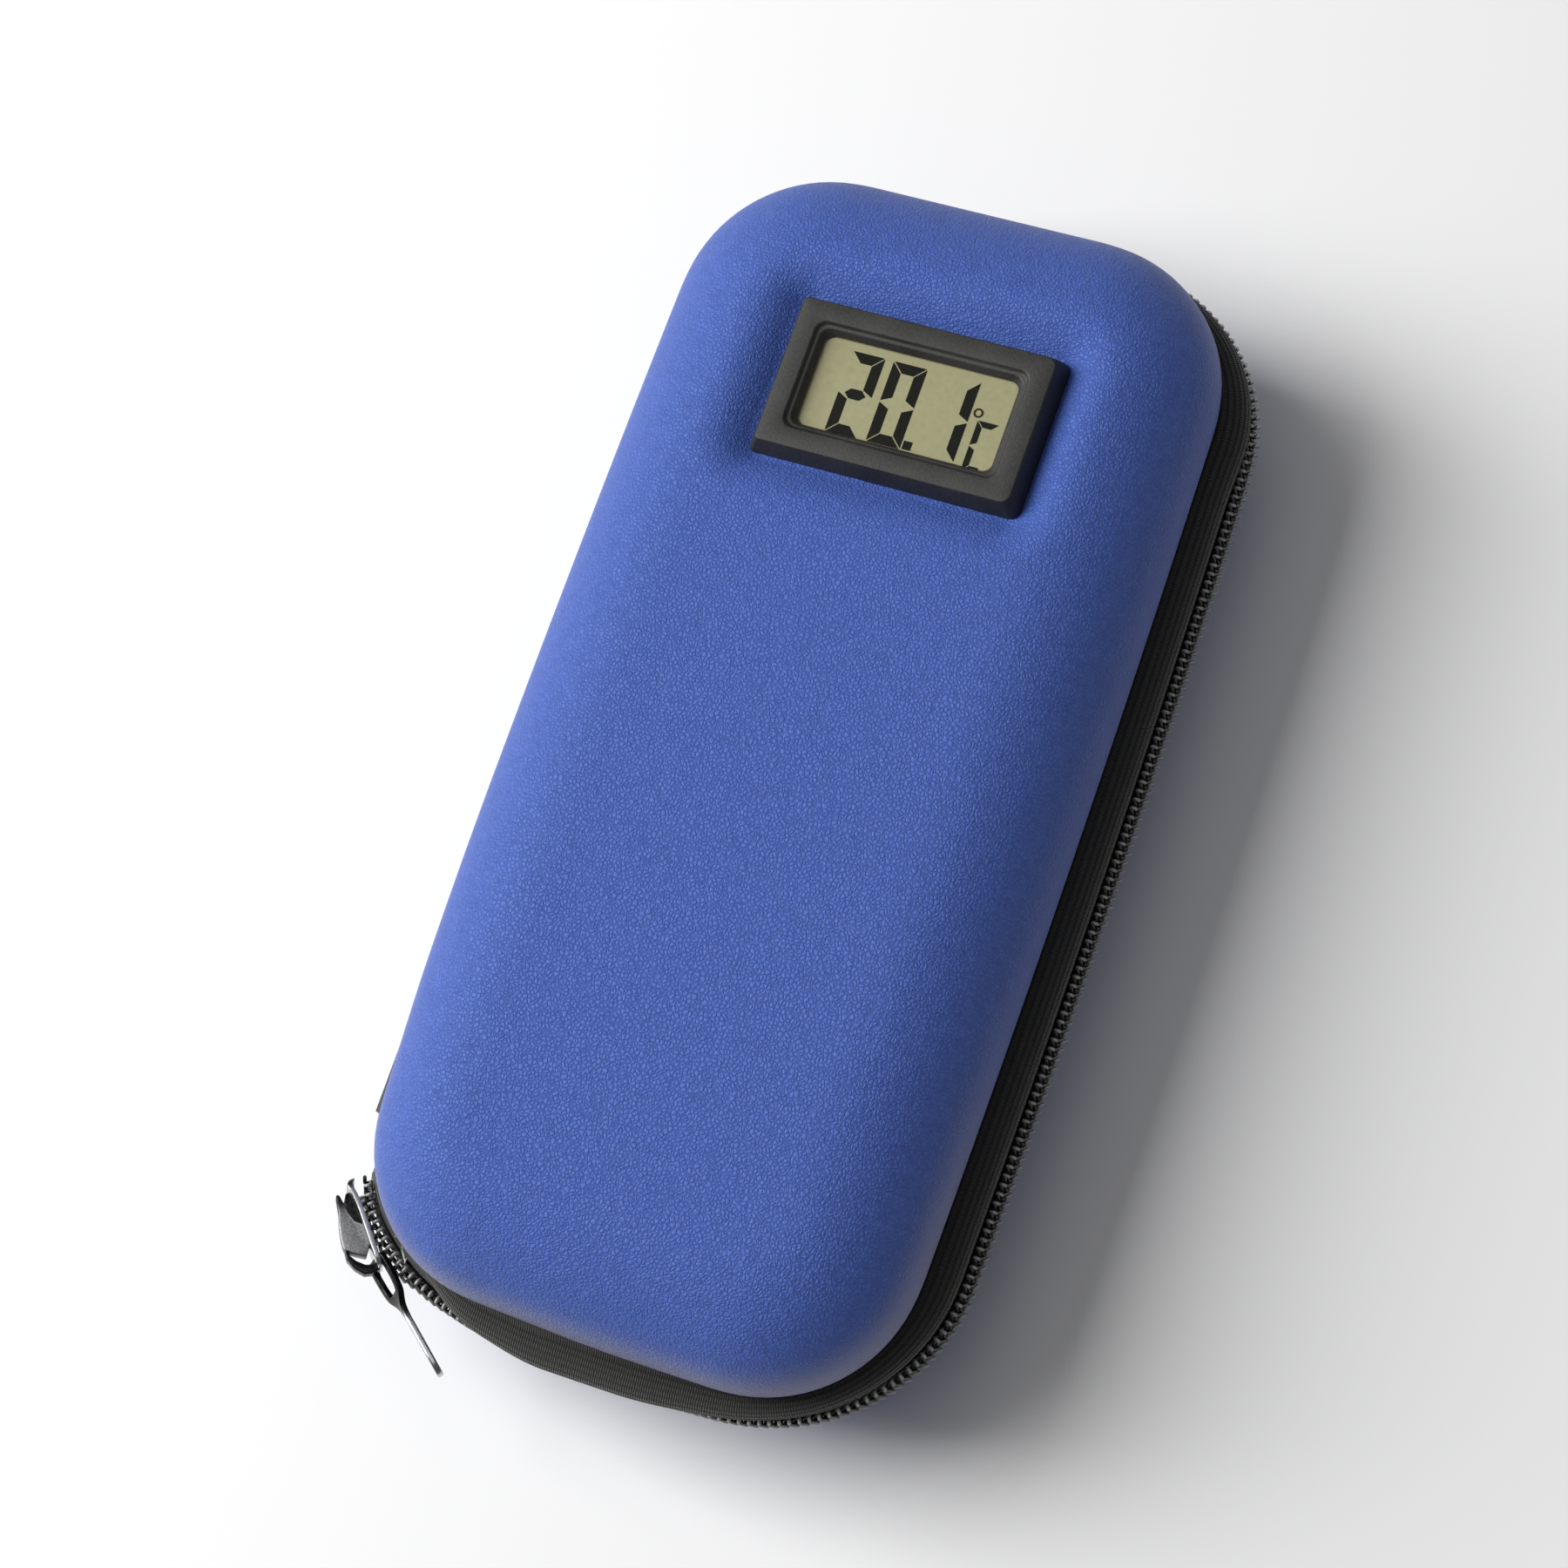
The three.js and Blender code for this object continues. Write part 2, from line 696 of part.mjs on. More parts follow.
function makeSlider() {
  const plate = extruded(sliderPlateShape(), sliderPlate, 0, metalArcSteps);
  plate.applyMatrix4(ontoChainFace);
  const outer = solidFrom(plate.clone().translate(sliderChannelHalf, 0, 0));
  const inner = solidFrom(plate.clone().translate(-sliderChannelHalf - sliderPlate, 0, 0));
  const seat = sliderChannelHalf + sliderPlate / 2;
  const post = drum(sliderPostRadius, -seat, seat, roundSteps / 2).rotateY(Math.PI / 2);
  post.translate(0, -sliderMouthEnd + sliderPostInset, 0);
  const crown = extruded(crownShape(), 2 * crownHalfWidth, -crownHalfWidth);
  crown.applyMatrix4(ontoChainEdge);
  const flanges = [-1, 1].map((side) => {
    const edge = side * sliderRearHalf;
    const low = Math.min(edge, edge - side * sliderFlangeWidth);
    return solidFrom(block(
      -seat,
      -sliderChannelHalf + sliderFlangeHeight,
      sliderFlangeStart,
      sliderFlangeEnd,
      low,
      low + sliderFlangeWidth,
    ));
  });
  const solids = [outer, inner, solidFrom(post), solidFrom(crown), ...flanges];
  return geometryFrom(joined(solids));
}

const pullPivotOut =
  sliderChannelHalf + sliderPlate + (crownHeight - crownThickness) / 2;

function pullShape() {
  const shape = new THREE.Shape();
  shape.moveTo(-pullHeadBack, -pullHeadHalf);
  shape.lineTo(pullHeadLength - pullNeckHalf, -pullHeadHalf);
  shape.quadraticCurveTo(pullHeadLength, -pullHeadHalf, pullNeckAt, -pullNeckHalf);
  shape.lineTo(pullTabStart, -pullTabStartHalf);
  shape.lineTo(pullLength - pullTabHalf, -pullTabHalf);
  shape.absarc(pullLength - pullTabHalf, 0, pullTabHalf, -Math.PI / 2, Math.PI / 2);
  shape.lineTo(pullTabStart, pullTabStartHalf);
  shape.lineTo(pullNeckAt, pullNeckHalf);
  shape.quadraticCurveTo(
    pullHeadLength, pullHeadHalf, pullHeadLength - pullNeckHalf, pullHeadHalf);
  shape.lineTo(-pullHeadBack, pullHeadHalf);
  shape.closePath();
  shape.holes.push(pullEye(), pullSlot());
  return shape;
}

function pullEye() {
  const eye = new THREE.Path();
  eye.moveTo(pullHeadBack, -pullEyeHalf);
  eye.lineTo(pullHeadBack, pullEyeHalf);
  eye.lineTo(pullEyeLength, pullEyeHalf);
  eye.lineTo(pullEyeLength, -pullEyeHalf);
  eye.closePath();
  return eye;
}

function pullSlot() {
  const slot = new THREE.Path();
  const from = pullTabStart + pullSlotMargin;
  const to = pullLength - pullTabHalf - pullSlotMargin;
  slot.absarc(to, 0, pullSlotHalf, Math.PI / 2, -Math.PI / 2, true);
  slot.absarc(from, 0, pullSlotHalf, -Math.PI / 2, Math.PI / 2, true);
  slot.closePath();
  return slot;
}

function makePull() {
  const plate = extruded(pullShape(), pullThickness, -pullThickness / 2, metalArcSteps);
  return plate.applyMatrix4(ontoChainFace);
}

// Fabric hinge: a flap from each shell to the fold line, where they meet.
function makeSpine(side) {
  const edge = clearance + tapeThickness / 2;
  const way = closedWay(bodyOutline);
  const left = way[way.length - 1];
  const along = new THREE.Vector3(0, -1, 0);
  const sections = [];
  for (let k = 0; k <= sideSteps; k += 1) {
    const y = spineHalfLength * (1 - (2 * k) / sideSteps);
    const share = 0.5 - y / (2 * bodyOutline.cornerY);
    const station = left.at(THREE.MathUtils.clamp(share, 0, 1));
    station.y = y;
    const seam = seamLine(station, side);
    const fold = new THREE.Vector3(hingeX + spineEdgeOut, y, zipPlane + side * edge);
    const bulge = fold.clone().lerp(seam[0], spineBulgeShare);
    bulge.x = THREE.MathUtils.lerp(fold.x, seam[0].x, spineBulgeShare / 2);
    bulge.z = zipPlane + side * (rimGap - tapeDrop) * (1 - spineBulgeShare);
    sections.push(thickened([fold, bulge, ...seam], along, tapeThickness));
  }
  return band(sections);
}

// Panel thermometer, in its own frame: centre of the front frame, Z as the case's.

const meterTop = {
  lip: frameTop - lipThickness,
  bottom: frameTop - meterDepth,
};
meterTop.pane = meterTop.lip - meterFit;
meterTop.display = meterTop.pane - paneThickness - meterFit;
meterTop.strip = meterTop.display - displayThickness - meterFit;
meterTop.board = meterTop.strip - stripThickness - meterFit;
meterTop.contact = meterTop.board - boardThickness - meterFit;
meterTop.cell = meterTop.contact - contactThickness - meterFit;
meterTop.cover = meterTop.bottom + coverThickness;

function taperedSlab(halfWidth, halfLength, rounding, bottom, top, taper) {
  const rings = [[0, bottom], [taper, top]].map(([inset, z]) => {
    const shape = roundedRectangle(halfWidth - inset, halfLength - inset, rounding);
    const points = shape.getPoints(slabArcSteps).slice(0, -1);
    return points.map(({ x, y }) => new THREE.Vector3(x, y, z));
  });
  return solidFrom(stack(rings));
}

function makeMeterFrame() {
  const flange = taperedSlab(
    frameHalfWidth, frameHalfLength, frameRounding, frameTop - frameFlange, frameTop, frameDraft);
  const body = solidFrom(slab(
    meterHalfWidth, meterHalfLength, meterRounding, meterTop.cover + meterFit,
    frameTop - lipThickness));
  const hollow = solidFrom(slab(
    meterHalfWidth - meterWall, meterHalfLength - meterWall, meterRounding,
    meterTop.bottom - overrun, meterTop.lip));
  const opening = taperedSlab(
    windowHalfWidth, windowHalfLength, frameRounding, meterTop.lip - overrun / 2,
    frameTop + overrun / 2, 0);
  const recess = taperedSlab(
    windowHalfWidth + windowBevel, windowHalfLength + windowBevel, frameRounding,
    frameTop - lipThickness / 2, frameTop + overrun / 2, 0);
  const clips = [-1, 1].map((side) => solidFrom(clipWedge(side)));
  return geometryFrom(joined([flange, body, ...clips])
    .subtract(hollow).subtract(opening).subtract(recess));
}

// A snap wedge on each short side, under the liner.
function clipWedge(side) {
  const top = dentFloor - linerCeiling - linerThickness - clearance;
  const wedge = new THREE.Shape();
  const face = meterHalfWidth - meterWall / 2;
  wedge.moveTo(side * face, top);
  wedge.lineTo(side * (meterHalfWidth + clipReach), top);
  wedge.lineTo(side * meterHalfWidth, top - clipHeight);
  wedge.lineTo(side * face, top - clipHeight);
  const solid = extruded(wedge, 2 * clipHalfLength, -clipHalfLength);
  return solid.rotateX(Math.PI / 2);
}

function makePane() {
  return slab(
    windowHalfWidth + paneMargin, windowHalfLength + paneMargin, meterRounding,
    meterTop.pane - paneThickness, meterTop.pane);
}

function makeDisplay() {
  return slab(
    windowHalfWidth + 2 * paneMargin, windowHalfLength + paneMargin, meterRounding / 2,
    meterTop.display - displayThickness, meterTop.display);
}

function makeContactStrip() {
  const y = -(windowHalfLength + paneMargin - stripWidth);
  return block(
    -windowHalfWidth, windowHalfWidth, y - stripWidth / 2, y + stripWidth / 2,
    meterTop.strip - stripThickness, meterTop.strip);
}

function makeBoard() {
  return slab(
    meterHalfWidth - meterWall - boardMargin, meterHalfLength - meterWall - boardMargin,
    meterRounding / 2, meterTop.board - boardThickness, meterTop.board);
}

function makeBlob() {
  const profile = [new THREE.Vector2(0, 0)];
  for (let k = 0; k <= metalArcSteps; k += 1) {
    const angle = (Math.PI / 2) * (k / metalArcSteps);
    profile.push(new THREE.Vector2(blobRadius * Math.cos(angle), blobHeight * Math.sin(angle)));
  }
  profile[profile.length - 1].x = 0;
  const dome = new THREE.LatheGeometry(profile, roundSteps / 2);
  return geometryFrom(solidFrom(dome.rotateX(Math.PI / 2)));
}

const cellY = -(meterHalfLength - meterWall - clearance - doorWidth / 2);
const cellX = meterHalfWidth - meterWall - cellRadius - clearance;
const doorInner = cellX - cellSpacing - cellRadius - meterWall;

function makeCover() {
  const plate = solidFrom(slab(
    meterHalfWidth, meterHalfLength, meterRounding, meterTop.bottom, meterTop.cover));
  const doorway = solidFrom(block(
    doorInner, meterHalfWidth + overrun, cellY - doorWidth / 2 - meterFit,
    cellY + doorWidth / 2 + meterFit, meterTop.bottom - overrun, meterTop.cover + overrun));
  const vents = Array.from({ length: ventCount }, (_, k) => {
    const x = doorInner - ventPitch * (k + 1);
    return solidFrom(block(
      x - ventWidth / 2, x + ventWidth / 2, cellY - ventLength / 2, cellY + ventLength / 2,
      meterTop.bottom - overrun, meterTop.cover + overrun));
  });
  return geometryFrom(vents.reduce((sum, vent) => sum.subtract(vent), plate.subtract(doorway)));
}

function makeDoor() {
  const plate = solidFrom(block(
    doorInner + meterFit, meterHalfWidth, cellY - doorWidth / 2, cellY + doorWidth / 2,
    meterTop.bottom, meterTop.bottom + doorThickness));
  const grips = Array.from({ length: doorGripCount }, (_, k) => {
    const x = meterHalfWidth - doorGripPitch * (k + 1);
    return solidFrom(block(
      x - doorGripWidth / 2, x + doorGripWidth / 2, cellY - doorGripHalf,
      cellY + doorGripHalf, meterTop.bottom - overrun, meterTop.bottom + doorGripDepth));
  });
  return geometryFrom(grips.reduce((sum, grip) => sum.subtract(grip), plate));
}

function makeContact() {
  return block(
    -contactLength / 2, contactLength / 2, -contactWidth / 2, contactWidth / 2,
    meterTop.contact - contactThickness, meterTop.contact);
}

function makeCell() {
  return drum(cellRadius, meterTop.cell - cellHeight, meterTop.cell, roundSteps);
}

// Inside of the case.

function makeGelPack() {
  const floor = linerCeiling + linerThickness + clearance;
  const middle = floor + packThickness / 2;
  const pad = (inset, z) => ring(
    packHalfWidth - inset, packHalfLength - inset, packCornerRadius - inset, bodySideRadius, z,
    padCornerSteps, 1);
  const seam = packSeamThickness / 2;
  const half = packThickness / 2;
  const below = [
    pad(2 * packSeam, middle - half),
    pad(packSeam / 2, middle - half * packSideShare),
    pad(0, middle - seam),
    pad(-packSeam, middle - seam),
  ];
  const above = below.map((level) =>
    level.map(({ x, y, z }) => new THREE.Vector3(x, y, 2 * middle - z))).reverse();
  return stack([...below, ...above]);
}

function makePenTray() {
  const bottom = linerCeiling + linerThickness + packThickness + 2 * clearance;
  const top = zipPlane + trayTop;
  const corner = linerCornerSteps;
  const foam = solidFrom(stack([
    bodyRing(trayInset, bottom, corner, sideSteps),
    bodyRing(trayInset, top - trayChamfer, corner, sideSteps),
    bodyRing(trayInset + trayChamfer, top, corner, sideSteps),
  ]));
  const axis = bottom + channelFloor + channelRadius;
  const cuts = [-1, 0, 1].flatMap((place) => {
    const x = place * channelSpacing;
    const trough = drum(channelRadius, -channelHalfLength, channelHalfLength, roundSteps);
    trough.rotateX(Math.PI / 2).translate(x, 0, axis);
    const mouth = block(
      x - channelRadius, x + channelRadius, -channelHalfLength, channelHalfLength, axis,
      top + overrun);
    return [solidFrom(trough), solidFrom(mouth)];
  });
  const scoop = drum(scoopRadius, -bodyHalfWidth, bodyHalfWidth, roundSteps);
  scoop.rotateY(Math.PI / 2).translate(0, 0, top - scoopDepth + scoopRadius);
  const reach = 2 * channelSpacing + 2 * channelRadius;
  const scoopLimit = block(
    -reach / 2, reach / 2, -scoopRadius, scoopRadius, zipPlane - halfHeight, top + overrun);
  cuts.push(solidFrom(scoop).intersect(solidFrom(scoopLimit)));
  return geometryFrom(cuts.reduce((sum, cut) => sum.subtract(cut), foam));
}

function makeStrap() {
  const bottom = zipPlane + trayTop + clearance;
  return slab(
    strapHalfLength, strapHalfWidth, strapThickness, bottom, bottom + strapThickness);
}

// Net pocket in the lid: a sheet sewn to the liner on three sides, hemmed on the fourth.
function makeNet() {
  const inset = linerSide + linerThickness + clearance;
  const z = zipPlane + netHeight;
  const whole = solidFrom(stack([
    bodyRing(inset, z, linerCornerSteps, sideSteps),
    bodyRing(inset, z + netThickness, linerCornerSteps, sideSteps),
  ]));
  const above = solidFrom(block(
    -bodyHalfWidth, bodyHalfWidth, netTopEdge, bodyHalfLength, z - overrun, z + overrun));
  const half = bodyHalfWidth - inset - netHemRadius;
  const hem = drum(netHemRadius, -half, half, roundSteps / 2);
  hem.rotateY(Math.PI / 2).translate(0, netTopEdge, z + netThickness / 2);
  return geometryFrom(whole.subtract(above).add(solidFrom(hem)));
}

// Assembly.

const part = new THREE.Group();
const lid = new THREE.Group();
const base = new THREE.Group();
const meter = new THREE.Group();
meter.position.set(frameCentreX, frameCentreY, 0);
lid.add(meter);
part.add(base, lid);

function named(name, geometry, material) {
  const mesh = new THREE.Mesh(geometry, material);
  mesh.name = name;
  return mesh;
}

lid.add(named('lid_shell', makeHalf(shellSkin, true), blueLeather));
lid.add(named('lid_liner', makeHalf(linerSkin, true), foil));
lid.add(named('lid_zipper_tape', makeTape(1), blackFabric));
lid.add(named('lid_zipper_teeth', makeChainHalf(1), blackNylon));
lid.add(named('lid_spine_flap', makeSpine(1), blackFabric));
lid.add(named('net_pocket', makeNet(), blackNet));

base.add(named('base_shell', makeHalf(shellSkin, false), blueLeather));
base.add(named('base_liner', makeHalf(linerSkin, false), foil));
base.add(named('base_zipper_tape', makeTape(-1), blackFabric));
base.add(named('base_zipper_teeth', makeChainHalf(-1), blackNylon));
base.add(named('base_spine_flap', makeSpine(-1), blackFabric));
base.add(named('pen_tray', makePenTray(), greyFoam));

for (const [end, angle] of [['closed', -stopAngle], ['open', stopAngle]]) {
  for (const [half, side, home] of [['lid', 1, lid], ['base', -1, base]]) {
    const stop = named(`${half}_stop_${end}_end`, makeStop(), nickel);
    stop.position.z = side * (chainHalfHeight / 2 + clearance / 2);
    home.add(atChain(angle, stop));
  }
}

for (const [number, side] of [[1, -1], [2, 1]]) {
  const pack = named(`gel_pack_${number}`, makeGelPack(), gelFilm);
  pack.position.y = side * packPlace;
  base.add(pack);
  const strap = named(`elastic_strap_${number}`, makeStrap(), blackElastic);
  strap.position.y = side * strapPlace;
  base.add(strap);
}

const slider = new THREE.Group();
slider.add(named('zipper_slider', makeSlider(), nickel));
const pull = named('zipper_pull', makePull(), nickel);
pull.position.set(pullPivotOut, pullPivotAlong, 0);
pull.rotation.z = pullRestAngle;
slider.add(pull);
part.add(atChain(sliderAngle, slider));

meter.add(named('meter_frame', makeMeterFrame(), blackPlastic));
meter.add(named('window_pane', makePane(), clearPane));
meter.add(named('display_panel', makeDisplay(), displayGlass));
meter.add(named('contact_strip', makeContactStrip(), greyRubber));
meter.add(named('circuit_board', makeBoard(), greenBoard));
meter.add(named('rear_cover', makeCover(), blackPlastic));
meter.add(named('battery_door', makeDoor(), blackPlastic));

const blob = named('controller_blob', makeBlob(), blackResin);
blob.position.z = meterTop.board + meterFit;
meter.add(blob);

const bead = named('thermistor', new THREE.SphereGeometry(beadRadius, beadSteps, beadSteps), blackResin);
bead.position.set(doorInner - 2 * ventPitch, cellY, meterTop.contact - beadRadius);
meter.add(bead);

for (const [number, shift] of [[1, 0], [2, cellSpacing]]) {
  const cell = named(`button_cell_${number}`, makeCell(), steel);
  cell.position.set(cellX - shift, cellY, 0);
  const contact = named(`cell_contact_${number}`, makeContact(), brass);
  contact.position.set(cellX - shift, cellY, 0);
  meter.add(cell, contact);
}

export default part;
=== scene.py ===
from math import atan2, copysign, cos, hypot, pi, radians, sin, tan

import bmesh
import bpy
from mathutils import Matrix, Vector


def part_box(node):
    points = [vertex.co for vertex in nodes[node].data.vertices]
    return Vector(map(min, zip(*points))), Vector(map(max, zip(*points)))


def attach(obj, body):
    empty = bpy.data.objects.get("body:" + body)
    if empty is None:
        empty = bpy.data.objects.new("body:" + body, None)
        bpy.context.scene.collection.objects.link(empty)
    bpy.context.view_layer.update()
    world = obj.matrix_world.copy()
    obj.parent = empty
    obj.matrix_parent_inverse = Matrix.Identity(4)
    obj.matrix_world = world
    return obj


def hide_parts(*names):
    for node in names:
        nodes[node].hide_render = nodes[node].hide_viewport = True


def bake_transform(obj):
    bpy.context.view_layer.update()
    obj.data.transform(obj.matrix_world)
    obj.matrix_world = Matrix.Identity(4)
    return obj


# Insulin cooling case. Pieces are shaped in millimetres and then brought to metres.
# X is the case's width with the hinge at -X, Y its length with the thermometer at +Y.

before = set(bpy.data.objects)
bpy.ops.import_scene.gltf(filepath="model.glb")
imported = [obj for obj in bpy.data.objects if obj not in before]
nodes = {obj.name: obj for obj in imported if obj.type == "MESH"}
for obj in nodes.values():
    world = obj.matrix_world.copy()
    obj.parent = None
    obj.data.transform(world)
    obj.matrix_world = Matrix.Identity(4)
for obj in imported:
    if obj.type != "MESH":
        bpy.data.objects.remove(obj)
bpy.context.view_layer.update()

MM = 0.001
NEAR = 0.01

ZIP = 28.0
TOP = 56.0
BODY = {"width": 51.5, "length": 106.6, "corner": 27.5, "bow": 0.79}
CHAIN = {"width": 55.5, "length": 108.2, "corner": 32.7, "bow": 0.84}
SHOULDER_WIDTH = 22.0
SHOULDER_HEIGHT = 18.0
RIM_GAP = 6.5
WALL = 2.6
LEAN = radians(20)
FRAME_CENTRE = (1.4, 63.7)
FRAME_HALF = (24.0, 14.3)
FRAME_TOP = 56.8
FRAME_DEPTH = 13.5
FLANGE = 4.8
METER_HALF = (22.7, 12.9)
DENT_DEPTH = 4.2
DENT_MARGIN = 1.0
DENT_BLEND = 9.5
DENT_CORNER = 2.4
CORNER_STEPS = 10
SIDE_STEPS = 60
END_STEPS = 18


# Camera, floor and light. The camera was fitted to the photo; focal length in pixels.

CAMERA_TILT_X, CAMERA_TILT_Y, CAMERA_ROLL = radians(16.709), radians(12.878), radians(19.785)
CAMERA_AIM = (-6.688, 0.357, 20)
CAMERA_AWAY = 707.299
FOCAL_LENGTH, PHOTO_WIDTH, SENSOR_WIDTH = 4537.542, 1800, 36


def photo_camera():
    tilt_x, tilt_y, roll = CAMERA_TILT_X, CAMERA_TILT_Y, CAMERA_ROLL
    back = Vector((tan(tilt_x), -tan(tilt_y), 1)).normalized()
    side = Vector((0, 1, 0)).cross(back).normalized()
    rise = back.cross(side)
    right = cos(roll) * side + sin(roll) * rise
    up = cos(roll) * rise - sin(roll) * side
    place = Vector(CAMERA_AIM) + back * CAMERA_AWAY
    bpy.ops.object.camera_add()
    camera = bpy.context.object
    camera.matrix_world = Matrix((
        (right.x, up.x, back.x, place.x * MM),
        (right.y, up.y, back.y, place.y * MM),
        (right.z, up.z, back.z, place.z * MM),
        (0, 0, 0, 1),
    ))
    camera.data.sensor_width = SENSOR_WIDTH
    camera.data.lens = FOCAL_LENGTH * SENSOR_WIDTH / PHOTO_WIDTH
    camera.data.clip_start = 0.05
    camera.data.clip_end = 20
    bpy.context.scene.camera = camera
    return right, up, back


def pale_floor():
    bpy.ops.mesh.primitive_plane_add(size=12, location=(0, 0, -0.0002))
    floor = bpy.context.object
    floor.name = "floor"
    material = bpy.data.materials.new("pale_floor")
    material.use_nodes = True
    shader = material.node_tree.nodes["Principled BSDF"]
    shader.inputs["Base Color"].default_value = (0.93, 0.93, 0.93, 1)
    shader.inputs["Roughness"].default_value = 0.9
    floor.data.materials.append(material)


def white_world():
    world = bpy.data.worlds.new("studio")
    bpy.context.scene.world = world
    world.use_nodes = True
    tree = world.node_tree
    sky = tree.nodes["Background"]
    sky.inputs["Color"].default_value = (1, 1, 1, 1)
    sky.inputs["Strength"].default_value = 0.11
    seen = tree.nodes.new("ShaderNodeBackground")
    seen.inputs["Color"].default_value = (1, 1, 1, 1)
    seen.inputs["Strength"].default_value = 1.0
    path = tree.nodes.new("ShaderNodeLightPath")
    mix = tree.nodes.new("ShaderNodeMixShader")
    tree.links.new(path.outputs["Is Camera Ray"], mix.inputs["Fac"])
    tree.links.new(sky.outputs["Background"], mix.inputs[1])
    tree.links.new(seen.outputs["Background"], mix.inputs[2])
    tree.links.new(mix.outputs["Shader"], tree.nodes["World Output"].inputs["Surface"])


def softbox(name, place, aim, size, power):
    bpy.ops.object.light_add(type="AREA", location=place)
    lamp = bpy.context.object
    lamp.name = name
    lamp.data.shape = "RECTANGLE"
    lamp.data.size, lamp.data.size_y = size
    lamp.data.energy = power
    lamp.rotation_euler = (Vector(place) - Vector(aim)).to_track_quat("Z", "Y").to_euler()


bpy.context.scene.view_settings.view_transform = "Standard"
right, up, back = photo_camera()
pale_floor()
white_world()
softbox("window_light", -1.2 * right + 0.5 * up + 0.68 * back, (0, 0, 0.03), (0.9, 1.2), 29)
softbox("top_light", -0.2 * right + 0.5 * up + 1.4 * back, (0, 0, 0.03), (0.9, 0.9), 2)
softbox("edge_light", 1.3 * right - 0.1 * up + 0.3 * back, (0, 0, 0.03), (0.12, 0.8), 1.2)


# Hand tools.

def leave():
    if bpy.context.object and bpy.context.object.mode != "OBJECT":
        bpy.ops.object.mode_set(mode="OBJECT")
    bpy.ops.object.select_all(action="DESELECT")


def everything():
    bpy.ops.mesh.select_all(action="SELECT")


def turn_outward():
    everything()
    bpy.ops.mesh.normals_make_consistent(inside=False)


def stretch(value, centre):
    bpy.ops.transform.resize(value=value, center_override=centre)


def new_piece(name):
    """Names the primitive that was just added, and puts its place in its mesh."""
    piece = bpy.context.object
    piece.name = name
    piece.data.name = name
    bpy.ops.object.transform_apply(location=True, rotation=True, scale=True)
    bpy.ops.object.mode_set(mode="EDIT")
    everything()
    return piece


def edit(piece):
    leave()
    bpy.context.view_layer.objects.active = piece
    piece.select_set(True)
    bpy.ops.object.mode_set(mode="EDIT")


def pick(kind, test):
    """Selects the vertices, edges or faces that pass a test of their place."""
    modes = ("verts", "edges", "faces")
    bpy.ops.mesh.select_all(action="DESELECT")
    bpy.context.tool_settings.mesh_select_mode = tuple(kind == mode for mode in modes)
    mesh = bmesh.from_edit_mesh(bpy.context.object.data)
    mesh.select_mode = {{"verts": "VERT", "edges": "EDGE", "faces": "FACE"}[kind]}
    for item in getattr(mesh, kind):
        if test(item):
            item.select_set(True)
    mesh.select_flush_mode()
    bmesh.update_edit_mesh(bpy.context.object.data)


def reshape(move, chosen=False):
    """Moves each vertex of the piece being edited by a rule of its place."""
    mesh = bmesh.from_edit_mesh(bpy.context.object.data)
    for vertex in mesh.verts:
        if vertex.select or not chosen:
            move(vertex.co)
    bmesh.update_edit_mesh(bpy.context.object.data)


def grow(x, y, z):
    bpy.ops.mesh.extrude_region_move(TRANSFORM_OT_translate={"value": (x, y, z)})


def modify(piece, kind, **settings):
    leave()
    bpy.context.view_layer.objects.active = piece
    piece.select_set(True)
    modifier = piece.modifiers.new(kind.title(), kind)
    for name, value in settings.items():
        setattr(modifier, name, value)
    bpy.ops.object.modifier_apply(modifier=modifier.name)


def round_edges(piece, width, segments=3, angle=50):
    modify(piece, "BEVEL", width=width, segments=segments, limit_method="ANGLE",
           angle_limit=radians(angle))


def thicken(piece, thickness):
    modify(piece, "SOLIDIFY", thickness=thickness, offset=0)


def subdivide_once(piece):
    modify(piece, "SUBSURF", levels=1, render_levels=1)


def dress(piece, material):
    piece.data.materials.clear()
    piece.data.materials.append(material)


def merge_pieces(name, pieces):
    leave()
    for piece in pieces:
        piece.select_set(True)
    bpy.context.view_layer.objects.active = pieces[0]
    bpy.ops.object.join()
    pieces[0].name = name
    pieces[0].data.name = name
    return pieces[0]


def finished(piece, material, body=None, angle=35, stands_for=()):
    """Smooths a piece, brings it from millimetres to metres and hands it to its body."""
    leave()
    bpy.context.view_layer.objects.active = piece
    piece.select_set(True)
    piece.scale = (MM, MM, MM)
    bpy.ops.object.transform_apply(location=True, rotation=True, scale=True)
    bpy.ops.object.shade_smooth_by_angle(angle=radians(angle))
    dress(piece, material)
    if body:
        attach(piece, body)
    if stands_for:
        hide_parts(*stands_for)
    return piece


# Outlines: rounded corners, and long sides that bow out a little.

def bow_sides(straight, bow):
    def move(co):
        if abs(co.y) < straight:
            co.x += copysign(bow * (1 - (co.y / straight) ** 2), co.x)
    reshape(move)


def outline(name, shape, out, z, steps=(CORNER_STEPS, SIDE_STEPS, END_STEPS)):
    leave()
    width, length = shape["width"] - shape["bow"] + out, shape["length"] + out
    bpy.ops.mesh.primitive_plane_add(size=2, location=(0, 0, z))
    piece = new_piece(name)
    stretch((width, length, 1), (0, 0, z))
    bpy.ops.mesh.bevel(
        affect="VERTICES", offset=shape["corner"] + out, segments=steps[0], profile=0.5)
    for axis, reach, cuts in ((0, width, steps[1]), (1, length, steps[2])):
        for side in (-1, 1):
            pick("edges", lambda edge: all(
                vertex.co[axis] * side > reach - NEAR for vertex in edge.verts))
            if cuts > 1:
                bpy.ops.mesh.subdivide(number_cuts=cuts - 1)
    bow_sides(shape["length"] - shape["corner"], shape["bow"])
    pick("faces", lambda face: True)
    return piece


